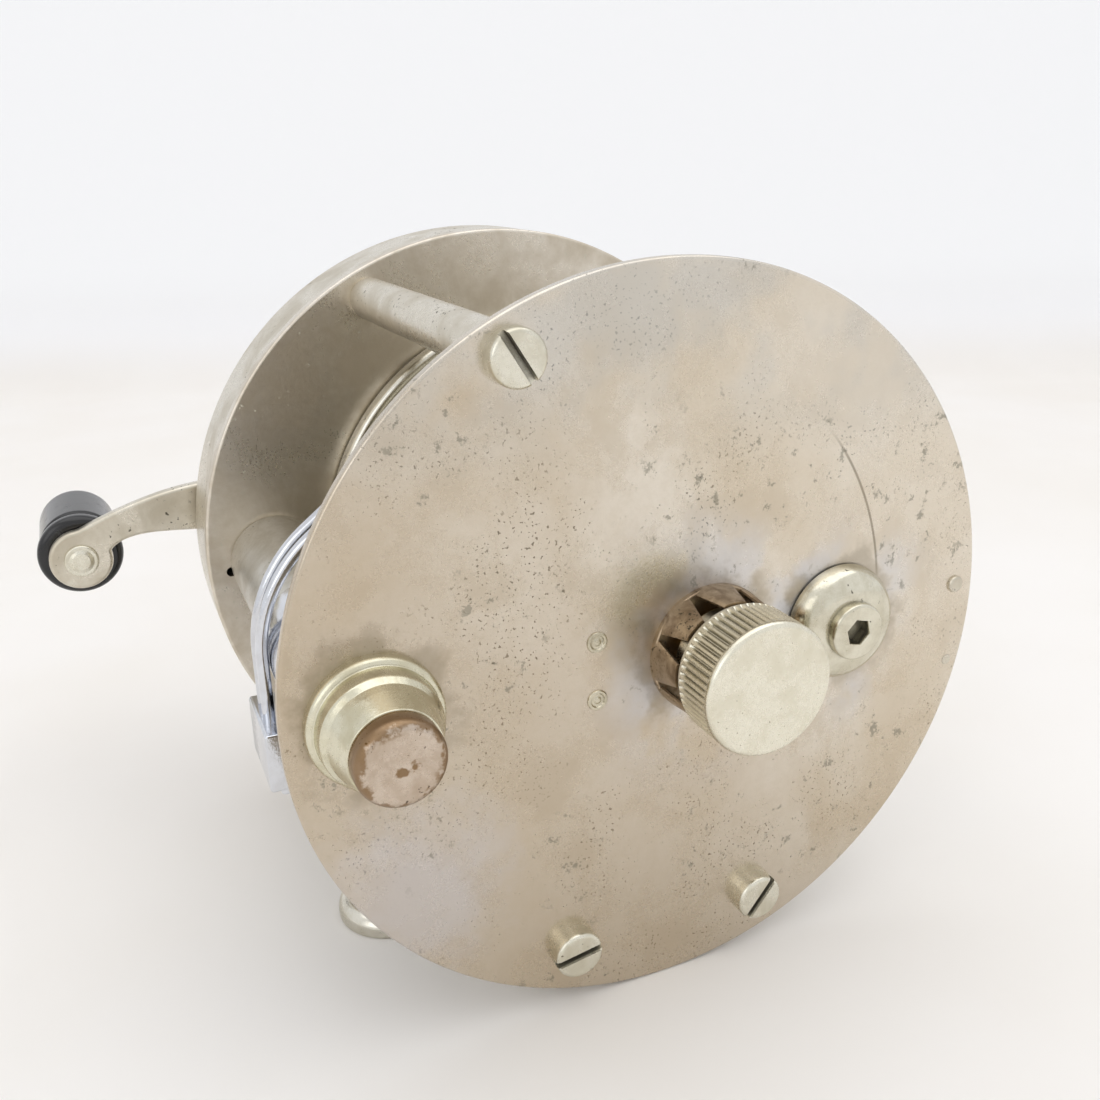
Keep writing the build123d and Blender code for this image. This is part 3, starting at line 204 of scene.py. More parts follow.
def inset(outline: Points, amount: float) -> Points:
    """A closed flat outline, counter-clockwise, with every side moved inwards by amount.

    Each point moves along the mean of its two sides' normals, further at a corner by one over the
    cosine of half the turn there.

    Args:
        outline: the points.
        amount: how far each side moves.

    Returns:
        The moved points, in the same order.
    """
    ahead = np.roll(outline, -1, 0) - outline
    ahead /= np.linalg.norm(ahead, axis=1)[:, None]
    normal = np.stack([-ahead[:, 1], ahead[:, 0]], 1)
    mean = normal + np.roll(normal, 1, 0)
    mean /= np.linalg.norm(mean, axis=1)[:, None]
    stretch = 1 / np.maximum((mean * normal).sum(1), 0.5)
    return outline + mean * (amount * stretch)[:, None]


def circle(radius: float, centre: Sequence[float] = (0.0, 0.0), count: int = 48) -> Points:
    """A round outline, counter-clockwise."""
    turn = even_turns(count)
    return np.array(centre) + radius * np.stack([np.cos(turn), np.sin(turn)], 1)


def arc(centre: Sequence[float], radius: float, start: float, end: float, count: int) -> Points:
    """Points along a circle's arc, angles in degrees."""
    turn = np.radians(np.linspace(start, end, count))
    return np.array(centre) + radius * np.stack([np.cos(turn), np.sin(turn)], 1)


def edge_profile(thickness: float, fillet_front: float, fillet_back: float, steps: int = 6) -> Points:
    """(distance, inset) pairs down the side of a slab: a quarter circle, the wall, a quarter circle.

    Args:
        thickness: the slab's.
        fillet_front: the rounding's radius where the profile starts.
        fillet_back: the rounding's radius where it ends.
        steps: chords in each rounding.

    Returns:
        The pairs, front to back.
    """
    turn = np.linspace(0, math.pi / 2, steps + 1)
    front = np.stack([fillet_front * (1 - np.cos(turn)), fillet_front * (1 - np.sin(turn))], 1)
    back = np.stack([thickness - fillet_back * (1 - np.cos(turn)), fillet_back * (1 - np.sin(turn))], 1)[::-1]
    ends = ([[0, fillet_front + HOLD]], [[thickness, fillet_back + HOLD]])
    return np.vstack([ends[0], front, back, ends[1]])


def hermite(points: Sequence[Sequence[float]], slopes: Sequence[Sequence[float]], steps: int = 24) -> Points:
    """A smooth line through points that leaves each one along its slope: a cubic for each span.

    Args:
        points: where the line goes through.
        slopes: the way it points at each of them.
        steps: points in each span.

    Returns:
        The points of the line.
    """
    knots = np.array(points, float)
    ways = np.array(slopes, float)
    ways /= np.linalg.norm(ways, axis=1)[:, None]
    chord = np.linalg.norm(np.diff(knots, axis=0), axis=1)[:, None, None]
    t = np.linspace(0, 1, steps, endpoint=False)[None, :, None]
    start, end = knots[:-1, None], knots[1:, None]
    leave, reach = ways[:-1, None] * chord, ways[1:, None] * chord
    spans = ((2 * t**3 - 3 * t**2 + 1) * start + (t**3 - 2 * t**2 + t) * leave
             + (-2 * t**3 + 3 * t**2) * end + (t**3 - t**2) * reach)
    return np.vstack([spans.reshape(-1, knots.shape[1]), knots[-1:]])


# ---- shells ----

class Shell:
    """A closed mesh put together from rings of points."""

    def __init__(self) -> None:
        """Starts with nothing in it."""
        self._points: list[Points] = []
        self._faces: list[Points] = []
        self._count = 0

    def add(self, points: Points) -> Points:
        """Adds points and returns their numbers, in the same layout.

        Args:
            points: an array whose last dimension is X, Y, Z.

        Returns:
            The points' numbers.
        """
        flat = np.asarray(points, float).reshape(-1, 3)
        start = self._count
        self._points.append(flat)
        self._count += len(flat)
        return np.arange(start, self._count).reshape(np.shape(points)[:-1])

    def skin(self, rings: Points, keep: Points | None = None, wrap: bool = True) -> None:
        """Quads between each ring and the next; keep, if given, says which cells are made.

        Args:
            rings: point numbers, one ring to a row.
            keep: which cells are made.
            wrap: whether each ring's last point joins its first.
        """
        low, high = rings[:-1], rings[1:]
        low_next, high_next = np.roll(low, -1, 1), np.roll(high, -1, 1)
        quads = np.stack([low, low_next, high_next, high], -1)
        if not wrap:
            quads = quads[:, :-1]
        self._faces.append((quads if keep is None else quads[keep]).reshape(-1, 4))

    def fan(self, ring: Points, apex: Points) -> None:
        """Closes a ring with triangles to one point."""
        tip = self.add(np.asarray(apex, float).reshape(1, 3))[0]
        self._faces.append(np.stack([ring, np.roll(ring, -1), np.full(len(ring), tip)], 1))

    def cap(self, outer: Points, holes: Sequence[Points] = (), plane: tuple[int, int] = (1, 2)) -> None:
        """Closes a flat ring with triangles, leaving each hole's ring open.

        Args:
            outer: point numbers round the outside.
            holes: point numbers round each hole.
            plane: the two coordinates that the flat face lies in.
        """
        loops = [outer, *holes]
        numbers = np.concatenate(loops)
        flat = np.concatenate(self._points)[numbers][:, plane]
        owner = np.repeat(np.arange(len(loops)), [len(loop) for loop in loops])
        starts = np.cumsum([0] + [len(loop) for loop in loops])
        edges = [np.stack([np.arange(len(loop)), np.roll(np.arange(len(loop)), -1)], 1) + start
                 for loop, start in zip(loops, starts)]
        made = delaunay_2d_cdt([Vector(p) for p in flat], np.concatenate(edges).tolist(), [], 1, 1e-7)
        source = np.array([origin[0] for origin in made[3]])
        triangles = source[np.array(made[2])]
        owners = owner[triangles]
        inside_hole = (owners[:, 0] > 0) & (owners == owners[:, :1]).all(1)
        self._faces.append(numbers[triangles[~inside_hole]])

    def build(self, name: str, sharp_degrees: float = 38.0) -> bpy.types.Object:
        """Makes the Blender object, with its faces outwards and its sharp edges marked.

        Args:
            name: the object's name.
            sharp_degrees: an edge bent further than this is sharp.

        Returns:
            The object, in the scene.
        """
        mesh = bpy.data.meshes.new(name)
        faces = [face for group in self._faces for face in group.tolist()]
        mesh.from_pydata((np.concatenate(self._points) * MM).tolist(), [], faces)
        work = bmesh.new()
        work.from_mesh(mesh)
        bmesh.ops.remove_doubles(work, verts=work.verts, dist=1e-7)
        bmesh.ops.recalc_face_normals(work, faces=work.faces)
        work.to_mesh(mesh)
        work.free()
        mesh.polygons.foreach_set("use_smooth", [True] * len(mesh.polygons))
        mesh.set_sharp_from_angle(angle=math.radians(sharp_degrees))
        made = bpy.data.objects.new(name, mesh)
        bpy.context.scene.collection.objects.link(made)
        return made


Relief = Callable[[Points, Points, Points], Points]


def turned(shell: Shell, axle: Axle, profile: Points, segments: int = 160, relief: Relief | None = None,
           closed: bool = False) -> Points:
    """A turned surface: each profile point (distance along, radius) is carried round the axle.

    Args:
        shell: where the surface goes.
        axle: the line it spins round.
        profile: the points of the section; an end on the axle is closed with a pole.
        segments: points round the axle.
        relief: takes distance, turn and radius as arrays and gives the radius with its pattern.
        closed: whether the last profile point joins the first, as on a bored piece.

    Returns:
        The point numbers, one row for each profile point off the axle.
    """
    off_axle = profile[:, 1] > 1e-9
    rings = profile[off_axle]
    along, radius, turn = np.broadcast_arrays(rings[:, :1], rings[:, 1:], even_turns(segments)[None])
    if relief is not None:
        radius = relief(along, turn, radius)
    numbers = shell.add(axle.place(along, radius, turn))
    shell.skin(np.vstack([numbers, numbers[:1]]) if closed else numbers)
    for end, ring in ((0, 0), (-1, -1)):
        if not off_axle[end]:
            shell.fan(numbers[ring], axle.place(profile[end, 0], np.array(0.0), np.array(0.0)))
    return numbers


def extruded(shell: Shell, outline: Points, x0: float, profile: Points, way: int = 1,
             holes: Sequence[Points] = ()) -> None:
    """A slab across X from a (Y, Z) outline: ring by ring, moved along and inset as the profile says.

    Args:
        shell: where the slab goes.
        outline: counter-clockwise points.
        x0: where the first flat face lies.
        profile: (distance, inset) pairs.
        way: 1 to build towards +X and -1 towards -X.
        holes: outlines of straight holes right through.
    """
    rings = np.stack([np.column_stack([np.full(len(outline), x0 + way * along), inset(outline, amount)])
                      for along, amount in profile])
    numbers = shell.add(rings)
    shell.skin(numbers)
    bore(shell, numbers[0], numbers[-1], x0, x0 + way * profile[-1, 0], holes)


def bore(shell: Shell, front: Points, back: Points, x_front: float, x_back: float,
         holes: Sequence[Points]) -> None:
    """Closes two flat rings across X and joins them through straight holes.

    Args:
        shell: where the surfaces go.
        front: point numbers of the first ring.
        back: point numbers of the last ring.
        x_front: where the first ring lies.
        x_back: where the last ring lies.
        holes: outlines of the holes.
    """
    walls = [shell.add(np.stack([np.column_stack([np.full(len(hole), x), hole]) for x in (x_front, x_back)]))
             for hole in holes]
    for wall in walls:
        shell.skin(wall)
    shell.cap(front, [wall[0] for wall in walls])
    shell.cap(back, [wall[1] for wall in walls])


def swept(shell: Shell, path: Points, radius: float, points: int, across: Sequence[float]) -> None:
    """A round wire along a path: at each point a circle square to the path's tangent.

    The circle's first direction is the tangent crossed with one fixed direction and made a unit
    long, and its second is the tangent crossed with the first. No tangent may lie along the fixed
    direction.

    Args:
        shell: where the wire goes.
        path: the points of its middle line.
        radius: the wire's radius.
        points: points round each circle.
        across: the fixed direction.
    """
    tangent = np.gradient(path, axis=0)
    tangent /= np.linalg.norm(tangent, axis=1)[:, None]
    side = np.cross(tangent, across)
    side /= np.linalg.norm(side, axis=1)[:, None]
    other = np.cross(tangent, side)
    turn = even_turns(points)
    rings = path[:, None] + radius * (np.cos(turn)[None, :, None] * side[:, None]
                                      + np.sin(turn)[None, :, None] * other[:, None])
    numbers = shell.add(rings)
    shell.skin(numbers)
    shell.fan(numbers[0], path[0])
    shell.fan(numbers[-1], path[-1])


# ---- finishes ----

def linear(code: str) -> tuple[float, float, float, float]:
    """An sRGB hex colour as the linear red, green, blue and alpha that shaders take.

    Args:
        code: a hash and six hexadecimal digits.

    Returns:
        The four numbers.
    """
    value = np.array([int(code[i:i + 2], 16) / 255 for i in (1, 3, 5)])
    made = np.where(value <= 0.04045, value / 12.92, ((value + 0.055) / 1.055) ** 2.4)
    return (*made.tolist(), 1.0)


def node(tree: bpy.types.NodeTree, kind: str, inputs: dict[Any, Any] | None = None,
         **settings: Any) -> bpy.types.Node:
    """Adds a shader node.

    Args:
        tree: the material's or world's node tree.
        kind: the node's type name without its ShaderNode prefix.
        inputs: a value, an sRGB hex colour or another node's output for each input, by name or number.
        settings: the node's own properties.

    Returns:
        The node.
    """
    made = tree.nodes.new("ShaderNode" + kind)
    for name, value in settings.items():
        setattr(made, name, value)
    for name, value in (inputs or {}).items():
        if isinstance(value, bpy.types.NodeSocket):
            tree.links.new(value, made.inputs[name])
        else:
            made.inputs[name].default_value = linear(value) if isinstance(value, str) else value
    return made


def millimetres(tree: bpy.types.NodeTree, centre: Sequence[float] = (0, 0, 0),
                stretch: Sequence[float] = (1, 1, 1)) -> bpy.types.NodeSocket:
    """Object coordinates in millimetres from a centre, each axis divided by its stretch.

    Args:
        tree: the material's node tree.
        centre: the point that becomes the origin.
        stretch: what each axis is divided by.

    Returns:
        The coordinates.
    """
    place = node(tree, "TexCoord").outputs["Object"]
    scale = [1 / MM / s for s in stretch]
    shift = [-c / s for c, s in zip(centre, stretch)]
    return node(tree, "Mapping", {"Vector": place, "Scale": scale, "Location": shift}).outputs["Vector"]


@dataclass(frozen=True)
class Metal:
    """A plated or bare metal, aged: clean colour, cloudy tarnish, fine specks and a brushed grain.

    What it gives the eye: a soft mirror whose tint drifts in patches, dotted with dull pits that
    neither shine nor reflect, under hair-fine marks left by buffing, darker in its own slots and corners
    from packed dirt and painted shade.
    """

    name: str
    clean: str
    tarnish: str
    roughness: float
    rough_spread: float = 0.1      # how much duller the tarnished patches are
    patch: float = 6.0             # millimetres across a patch
    tarnish_share: float = 0.6
    speck: float = 0.5             # millimetres across a speck
    speck_level: float = 0.66      # noise above this is a speck; higher leaves fewer
    speck_colour: str = "#4a463a"
    cluster: float = 7.0           # millimetres across a cluster of specks
    grain: tuple[float, float, float] = (0.25, 0.25, 0.25)   # millimetres of buffing marks along X, Y, Z
    grain_depth: float = 0.02      # bump distance, millimetres
    dirt_and_shade: float = 0.8              # how much of the colour the packed dirt and painted shade hide
    dirt_and_shade_reach: float = 0.9        # millimetres over which a corner counts as closed in

    def make(self) -> bpy.types.Material:
        """The material, ready to assign."""
        material = bpy.data.materials.new(self.name)
        material.use_nodes = True
        tree = material.node_tree
        tree.nodes.clear()
        colour, rough, height = self.layers(tree)
        bump = node(tree, "Bump", {"Height": height, "Strength": 0.35, "Distance": self.grain_depth * MM})
        shader = node(tree, "BsdfPrincipled", {"Base Color": colour, "Metallic": 1.0, "Roughness": rough,
                                               "Normal": bump.outputs["Normal"]})
        node(tree, "OutputMaterial", {"Surface": shader.outputs["BSDF"]})
        return material

    def layers(self, tree: bpy.types.NodeTree) -> tuple[bpy.types.NodeSocket, ...]:
        """The sockets for colour, roughness and height.

        Args:
            tree: the material's node tree.

        Returns:
            Colour, roughness and height.
        """
        place = millimetres(tree)
        cloud = node(tree, "TexNoise", {
            "Vector": place, "Scale": 1 / self.patch, "Detail": 5.0, "Roughness": 0.6, "Distortion": 0.4,
        }).outputs["Fac"]
        patches = node(tree, "MapRange", {
            "Value": cloud, 1: 0.4, 2: 0.66, 3: 0.0, 4: self.tarnish_share,
        }, interpolation_type="SMOOTHSTEP").outputs[0]
        colour = node(tree, "Mix", {
            0: patches, 6: self.clean, 7: self.tarnish,
        }, data_type="RGBA").outputs[2]
        fine = node(tree, "TexNoise", {
            "Vector": place, "Scale": 1 / 0.9, "Detail": 4.0, "Roughness": 0.7,
        }).outputs["Fac"]
        colour = node(tree, "Mix", {
            0: node(tree, "MapRange", {
                "Value": fine, 1: 0.35, 2: 0.7, 3: 0.0, 4: 0.22,
            }, interpolation_type="SMOOTHSTEP").outputs[0],
            6: colour, 7: self.tarnish,
        }, data_type="RGBA").outputs[2]
        dots = node(tree, "MapRange", {
            "Value": node(tree, "TexNoise", {
                "Vector": place, "Scale": 1 / self.speck, "Detail": 2.0, "Roughness": 0.6,
            }).outputs["Fac"],
            1: self.speck_level, 2: self.speck_level + 0.05,
        }, interpolation_type="SMOOTHSTEP").outputs[0]
        gathered = node(tree, "MapRange", {
            "Value": node(tree, "TexNoise", {
                "Vector": place, "Scale": 1 / self.cluster, "Detail": 3.0, "Roughness": 0.6,
            }).outputs["Fac"],
            1: 0.46, 2: 0.6,
        }, interpolation_type="SMOOTHSTEP").outputs[0]
        specks = node(tree, "Math", {0: dots, 1: gathered}, operation="MULTIPLY").outputs[0]
        colour = node(tree, "Mix", {
            0: node(tree, "Math", {0: specks, 1: 0.85}, operation="MULTIPLY").outputs[0], 6: colour,
            7: self.speck_colour,
        }, data_type="RGBA").outputs[2]
        grain = node(tree, "TexNoise", {
            "Vector": millimetres(tree, stretch=self.grain), "Scale": 1 / 1.0, "Detail": 3.0,
            "Roughness": 0.6,
        }).outputs["Fac"]
        rough = node(tree, "MapRange", {
            "Value": cloud, 1: 0.38, 2: 0.68, 3: self.roughness, 4: self.roughness + self.rough_spread,
        }, interpolation_type="SMOOTHSTEP").outputs[0]
        rough = node(tree, "Math", {
            0: rough, 1: node(tree, "Math", {0: specks, 1: 0.35}, operation="MULTIPLY").outputs[0],
        }, operation="ADD").outputs[0]
        rough = node(tree, "Math", {
            0: rough,
            1: node(tree, "MapRange", {
                "Value": grain, 1: 0.3, 2: 0.7, 3: -0.03, 4: 0.05,
            }, interpolation_type="SMOOTHSTEP").outputs[0],
        }, operation="ADD").outputs[0]
        # dirt packed in the piece's own slots and corners, with painted shade: ambient occlusion darkens the colour
        # wherever the piece closes in within about a millimetre
        closed_in = node(tree, "AmbientOcclusion", {"Distance": self.dirt_and_shade_reach * MM}, samples=6,
                         only_local=True).outputs["AO"]
        dirt_and_shade = node(tree, "Math", {
            0: node(tree, "MapRange", {
                "Value": closed_in, 1: 0.3, 2: 0.72, 3: 1.0, 4: 0.0,
            }, interpolation_type="SMOOTHSTEP").outputs[0],
            1: node(tree, "MapRange", {
                "Value": cloud, 1: 0.25, 2: 0.6, 3: 0.7, 4: 1.0,
            }, interpolation_type="SMOOTHSTEP").outputs[0],
        }, operation="MULTIPLY").outputs[0]
        colour = node(tree, "Mix", {
            0: node(tree, "Math", {0: dirt_and_shade, 1: self.dirt_and_shade}, operation="MULTIPLY").outputs[0], 6: colour,
            7: "#2b241a",
        }, data_type="RGBA").outputs[2]
        rough = node(tree, "Math", {
            0: rough, 1: node(tree, "Math", {0: dirt_and_shade, 1: 0.35}, operation="MULTIPLY").outputs[0],
        }, operation="ADD").outputs[0]
        height = node(tree, "Math", {
            0: grain, 1: node(tree, "Math", {0: specks, 1: 0.8}, operation="MULTIPLY").outputs[0],
        }, operation="SUBTRACT").outputs[0]
        return colour, rough, height


@dataclass(frozen=True)
class AgedPlate(Metal):
    """The tail plate's own finish: satin nickel plate on brass, spotted, with stains round its fittings.

    What it gives the eye: a warm beige disc, pinker and yellower in drifts, duller low at the front and paler
    towards the top at the back, milky blue beside the knob and the click, grey near the rim at the top,
    grey-green pits and one arc scratch. The broad slant, the milky haze and the grey band are partly tarnish
    and wear, partly painted reflection.
    """

    knob: tuple[float, float] = (0.0, 0.0)       # (Y, Z) of the fittings that the stains and the painted haze gather round
    click: tuple[float, float] = (0.0, 0.0)
    cap: tuple[float, float] = (0.0, 0.0)
    middle: float = 0.0                          # height of the plate's centre

    def near(self, tree: bpy.types.NodeTree, spot: tuple[float, float], start: float, end: float,
             wobble: bpy.types.NodeSocket) -> bpy.types.NodeSocket:
        """1 within start of a spot and 0 beyond end, its edge pushed about by the wobble.

        Args:
            tree: the material's node tree.
            spot: (Y, Z) of the middle.
            start: radius of the full stain.
            end: radius where it has gone.
            wobble: a noise that pushes the edge about.

        Returns:
            The share, from 0 to 1.
        """
        across = millimetres(tree, (0, *spot), (1000, 1, 1))
        distance = node(tree, "VectorMath", {0: across}, operation="LENGTH").outputs["Value"]
        pushed = node(tree, "Math", {
            0: distance,
            1: node(tree, "MapRange", {
                "Value": wobble, 1: 0.3, 2: 0.7, 3: -1.5, 4: 1.5,
            }, interpolation_type="SMOOTHSTEP").outputs[0],
        }, operation="ADD").outputs[0]
        return node(tree, "MapRange", {
            "Value": pushed, 1: start, 2: end, 3: 1.0, 4: 0.0,
        }, interpolation_type="SMOOTHSTEP").outputs[0]

    def layers(self, tree: bpy.types.NodeTree) -> tuple[bpy.types.NodeSocket, ...]:
        """The general metal's sockets with the plate's own stains laid over them.

        Args:
            tree: the material's node tree.

        Returns:
            Colour, roughness and height.
        """
        colour, rough, height = super().layers(tree)
        place = millimetres(tree)
        drift = node(tree, "TexNoise", {
            "Vector": place, "Scale": 1 / 16.0, "Detail": 3.0, "Roughness": 0.5, "Distortion": 0.3,
        }).outputs["Fac"]
        colour = node(tree, "Mix", {
            0: node(tree, "MapRange", {
                "Value": drift, 1: 0.42, 2: 0.66, 3: 0.0, 4: 0.5,
            }, interpolation_type="SMOOTHSTEP").outputs[0],
            6: colour, 7: "#cfc0a8",
        }, data_type="RGBA").outputs[2]
        # darker and duller from the middle to the front, paler towards the top at the back: partly tarnish, partly
        # painted reflection
        tarnish_and_reflection_slant = node(tree, "VectorMath", {0: millimetres(tree, (0, 0, self.middle)), 1: (0, 0.75, -0.65)},
                     operation="DOT_PRODUCT").outputs["Value"]
        tarnish_and_reflection_slant = node(tree, "Math", {
            0: tarnish_and_reflection_slant,
            1: node(tree, "MapRange", {
                "Value": drift, 1: 0.3, 2: 0.7, 3: -6.0, 4: 6.0,
            }, interpolation_type="SMOOTHSTEP").outputs[0],
        }, operation="ADD").outputs[0]
        colour = node(tree, "Mix", {
            0: node(tree, "MapRange", {
                "Value": tarnish_and_reflection_slant, 1: -14.0, 2: 12.0, 3: 0.0, 4: 0.5,
            }, interpolation_type="SMOOTHSTEP").outputs[0],
            6: colour, 7: "#b3a28a",
        }, data_type="RGBA").outputs[2]
        colour = node(tree, "Mix", {
            0: node(tree, "MapRange", {
                "Value": tarnish_and_reflection_slant, 1: -26.0, 2: -6.0, 3: 0.35, 4: 0.0,
            }, interpolation_type="SMOOTHSTEP").outputs[0],
            6: colour, 7: "#efe9de",
        }, data_type="RGBA").outputs[2]
        wobble = node(tree, "TexNoise", {
            "Vector": place, "Scale": 1 / 3.0, "Detail": 4.0, "Roughness": 0.6,
        }).outputs["Fac"]
        # milky haze, thickest a few millimetres out from the knob and the click: partly tarnish, partly painted
        # reflection
        for spot, reach in ((self.knob, 15.0), (self.click, 12.0)):
            haze_and_painted_reflection = node(tree, "Math", {
                0: self.near(tree, spot, 5.0, reach, wobble),
                1: node(tree, "MapRange", {
                    "Value": node(tree, "TexNoise", {
                        "Vector": place, "Scale": 1 / 6.0, "Detail": 3.0, "Roughness": 0.6,
                    }).outputs["Fac"],
                    1: 0.4, 2: 0.6, 3: 0.0, 4: 0.6,
                }, interpolation_type="SMOOTHSTEP").outputs[0],
            }, operation="MULTIPLY").outputs[0]
            colour = node(tree, "Mix", {0: haze_and_painted_reflection, 6: colour, 7: "#cfd1d8"}, data_type="RGBA").outputs[2]
            rough = node(tree, "Math", {
                0: rough, 1: node(tree, "Math", {0: haze_and_painted_reflection, 1: 0.2}, operation="MULTIPLY").outputs[0],
            }, operation="ADD").outputs[0]
        # a pale blue patch below the level-wind cap: partly haze, partly painted reflection
        low = node(tree, "Math", {
            0: self.near(tree, (self.cap[0] - 2, self.cap[1] - 16), 2.0, 11.0, wobble), 1: 0.5,
        }, operation="MULTIPLY").outputs[0]
        colour = node(tree, "Mix", {0: low, 6: colour, 7: "#cfcfd6"}, data_type="RGBA").outputs[2]
        # a thin stain in the corner between each fitting and the plate
        for spot, radius in ((self.knob, 5.65), (self.click, 5.25), (self.cap, 5.3)):
            grime = self.near(tree, spot, radius - 0.6, radius + 1.9, wobble)
            colour = node(tree, "Mix", {
                0: node(tree, "Math", {0: grime, 1: 0.3}, operation="MULTIPLY").outputs[0], 6: colour,
                7: "#75684f",
            }, data_type="RGBA").outputs[2]
            rough = node(tree, "Math", {
                0: rough, 1: node(tree, "Math", {0: grime, 1: 0.15}, operation="MULTIPLY").outputs[0],
            }, operation="ADD").outputs[0]
        # one long scratch, part of a circle, beside the click
        bend = millimetres(tree, (0, self.click[0] + 20.5, self.click[1] + 1.0), (1000, 1, 1))
        round_it = node(tree, "VectorMath", {0: bend}, operation="LENGTH").outputs["Value"]
        line = node(tree, "MapRange", {
            "Value": node(tree, "Math", {
                0: node(tree, "Math", {0: round_it, 1: 24.6}, operation="SUBTRACT").outputs[0],
            }, operation="ABSOLUTE").outputs[0],
            1: 0.06, 2: 0.16, 3: 1.0, 4: 0.0,
        }, interpolation_type="SMOOTHSTEP").outputs[0]
        apart = node(tree, "SeparateXYZ", {0: bend})
        ends = node(tree, "Math", {
            0: node(tree, "MapRange", {
                "Value": apart.outputs["Z"], 1: 1.0, 2: 5.0,
            }, interpolation_type="SMOOTHSTEP").outputs[0],
            1: node(tree, "MapRange", {
                "Value": apart.outputs["Z"], 1: 13.0, 2: 17.0, 3: 1.0, 4: 0.0,
            }, interpolation_type="SMOOTHSTEP").outputs[0],
        }, operation="MULTIPLY").outputs[0]
        ends = node(tree, "Math", {
            0: ends,
            1: node(tree, "MapRange", {
                "Value": apart.outputs["Y"], 1: -1.0, 2: 0.0, 3: 1.0, 4: 0.0,
            }, interpolation_type="SMOOTHSTEP").outputs[0],
        }, operation="MULTIPLY").outputs[0]
        colour = node(tree, "Mix", {
            0: node(tree, "Math", {
                0: node(tree, "Math", {0: line, 1: ends}, operation="MULTIPLY").outputs[0], 1: 0.6,
            }, operation="MULTIPLY").outputs[0],
            6: colour, 7: "#6f6552",
        }, data_type="RGBA").outputs[2]
        # the grey band along the top: partly brushed wear, partly painted reflection
        band = node(tree, "SeparateXYZ", {0: millimetres(tree, (0, 0, self.middle))}).outputs["Z"]
        top = node(tree, "Math", {
            0: node(tree, "MapRange", {
                "Value": band, 1: 14.0, 2: 27.0,
            }, interpolation_type="SMOOTHSTEP").outputs[0],
            1: node(tree, "MapRange", {
                "Value": node(tree, "TexNoise", {
                    "Vector": place, "Scale": 1 / 9.0, "Detail": 3.0, "Roughness": 0.6,
                }).outputs["Fac"],
                1: 0.38, 2: 0.6,
            }, interpolation_type="SMOOTHSTEP").outputs[0],
        }, operation="MULTIPLY").outputs[0]
        colour = node(tree, "Mix", {
            0: node(tree, "Math", {0: top, 1: 0.5}, operation="MULTIPLY").outputs[0], 6: colour,
            7: "#c3c2be",
        }, data_type="RGBA").outputs[2]
        # large grey-green pits in drifts
        blots = node(tree, "MapRange", {
            "Value": node(tree, "TexNoise", {
                "Vector": place, "Scale": 1 / 1.5, "Detail": 6.0, "Roughness": 0.75,
            }).outputs["Fac"],
            1: 0.58, 2: 0.64,
        }, interpolation_type="SMOOTHSTEP").outputs[0]
        drifts = node(tree, "MapRange", {
            "Value": node(tree, "TexNoise", {
                "Vector": place, "Scale": 1 / 12.0, "Detail": 2.0, "Roughness": 0.5,
            }).outputs["Fac"],
            1: 0.48, 2: 0.6,
        }, interpolation_type="SMOOTHSTEP").outputs[0]
        blots = node(tree, "Math", {0: blots, 1: drifts}, operation="MULTIPLY").outputs[0]
        colour = node(tree, "Mix", {
            0: node(tree, "Math", {0: blots, 1: 0.6}, operation="MULTIPLY").outputs[0], 6: colour,
            7: "#7f7d70",
        }, data_type="RGBA").outputs[2]
        rough = node(tree, "Math", {
            0: rough, 1: node(tree, "Math", {0: blots, 1: 0.2}, operation="MULTIPLY").outputs[0],
        }, operation="ADD").outputs[0]
        return colour, rough, height


@dataclass(frozen=True)
class WornButton(Metal):
    """A handled cap's finish: the plate worn to brown brass round the edge and in two spots."""

    axis: tuple[float, float] = (0.0, 0.0)       # (Y, Z) of the cap's line
    rim: float = 3.36

    def layers(self, tree: bpy.types.NodeTree) -> tuple[bpy.types.NodeSocket, ...]:
        """The general metal's sockets with brown laid round the rim and on two small spots.

        Args:
            tree: the material's node tree.

        Returns:
            Colour, roughness and height.
        """
        colour, rough, height = super().layers(tree)
        wobble = node(tree, "TexNoise", {
            "Vector": millimetres(tree), "Scale": 1 / 1.4, "Detail": 4.0, "Roughness": 0.65,
        }).outputs["Fac"]
        across = millimetres(tree, (0, *self.axis), (1000, 1, 1))
        distance = node(tree, "VectorMath", {0: across}, operation="LENGTH").outputs["Value"]
        edge = node(tree, "Math", {
            0: distance,
            1: node(tree, "MapRange", {
                "Value": wobble, 1: 0.3, 2: 0.7, 3: -0.5, 4: 0.35,
            }, interpolation_type="SMOOTHSTEP").outputs[0],
        }, operation="ADD").outputs[0]
        brown = node(tree, "MapRange", {
            "Value": edge, 1: self.rim - 0.8, 2: self.rim - 0.35, 3: 0.0, 4: 0.75,
        }, interpolation_type="SMOOTHSTEP").outputs[0]
        for y, z in ((0.15, -0.3), (-0.75, -0.1)):
            place = millimetres(tree, (0, self.axis[0] + y, self.axis[1] + z), (1000, 1, 1))
            away = node(tree, "VectorMath", {0: place}, operation="LENGTH").outputs["Value"]
            away = node(tree, "Math", {
                0: away,
                1: node(tree, "MapRange", {
                    "Value": wobble, 1: 0.3, 2: 0.7, 3: -0.3, 4: 0.3,
                }, interpolation_type="SMOOTHSTEP").outputs[0],
            }, operation="ADD").outputs[0]
            brown = node(tree, "Math", {
                0: brown,
                1: node(tree, "MapRange", {
                    "Value": away, 1: 0.2, 2: 0.45, 3: 0.8, 4: 0.0,
                }, interpolation_type="SMOOTHSTEP").outputs[0],
            }, operation="MAXIMUM").outputs[0]
        colour = node(tree, "Mix", {0: brown, 6: colour, 7: "#7a5a2e"}, data_type="RGBA").outputs[2]
        rough = node(tree, "Math", {
            0: rough, 1: node(tree, "Math", {0: brown, 1: 0.1}, operation="MULTIPLY").outputs[0],
        }, operation="ADD").outputs[0]
        return colour, rough, height


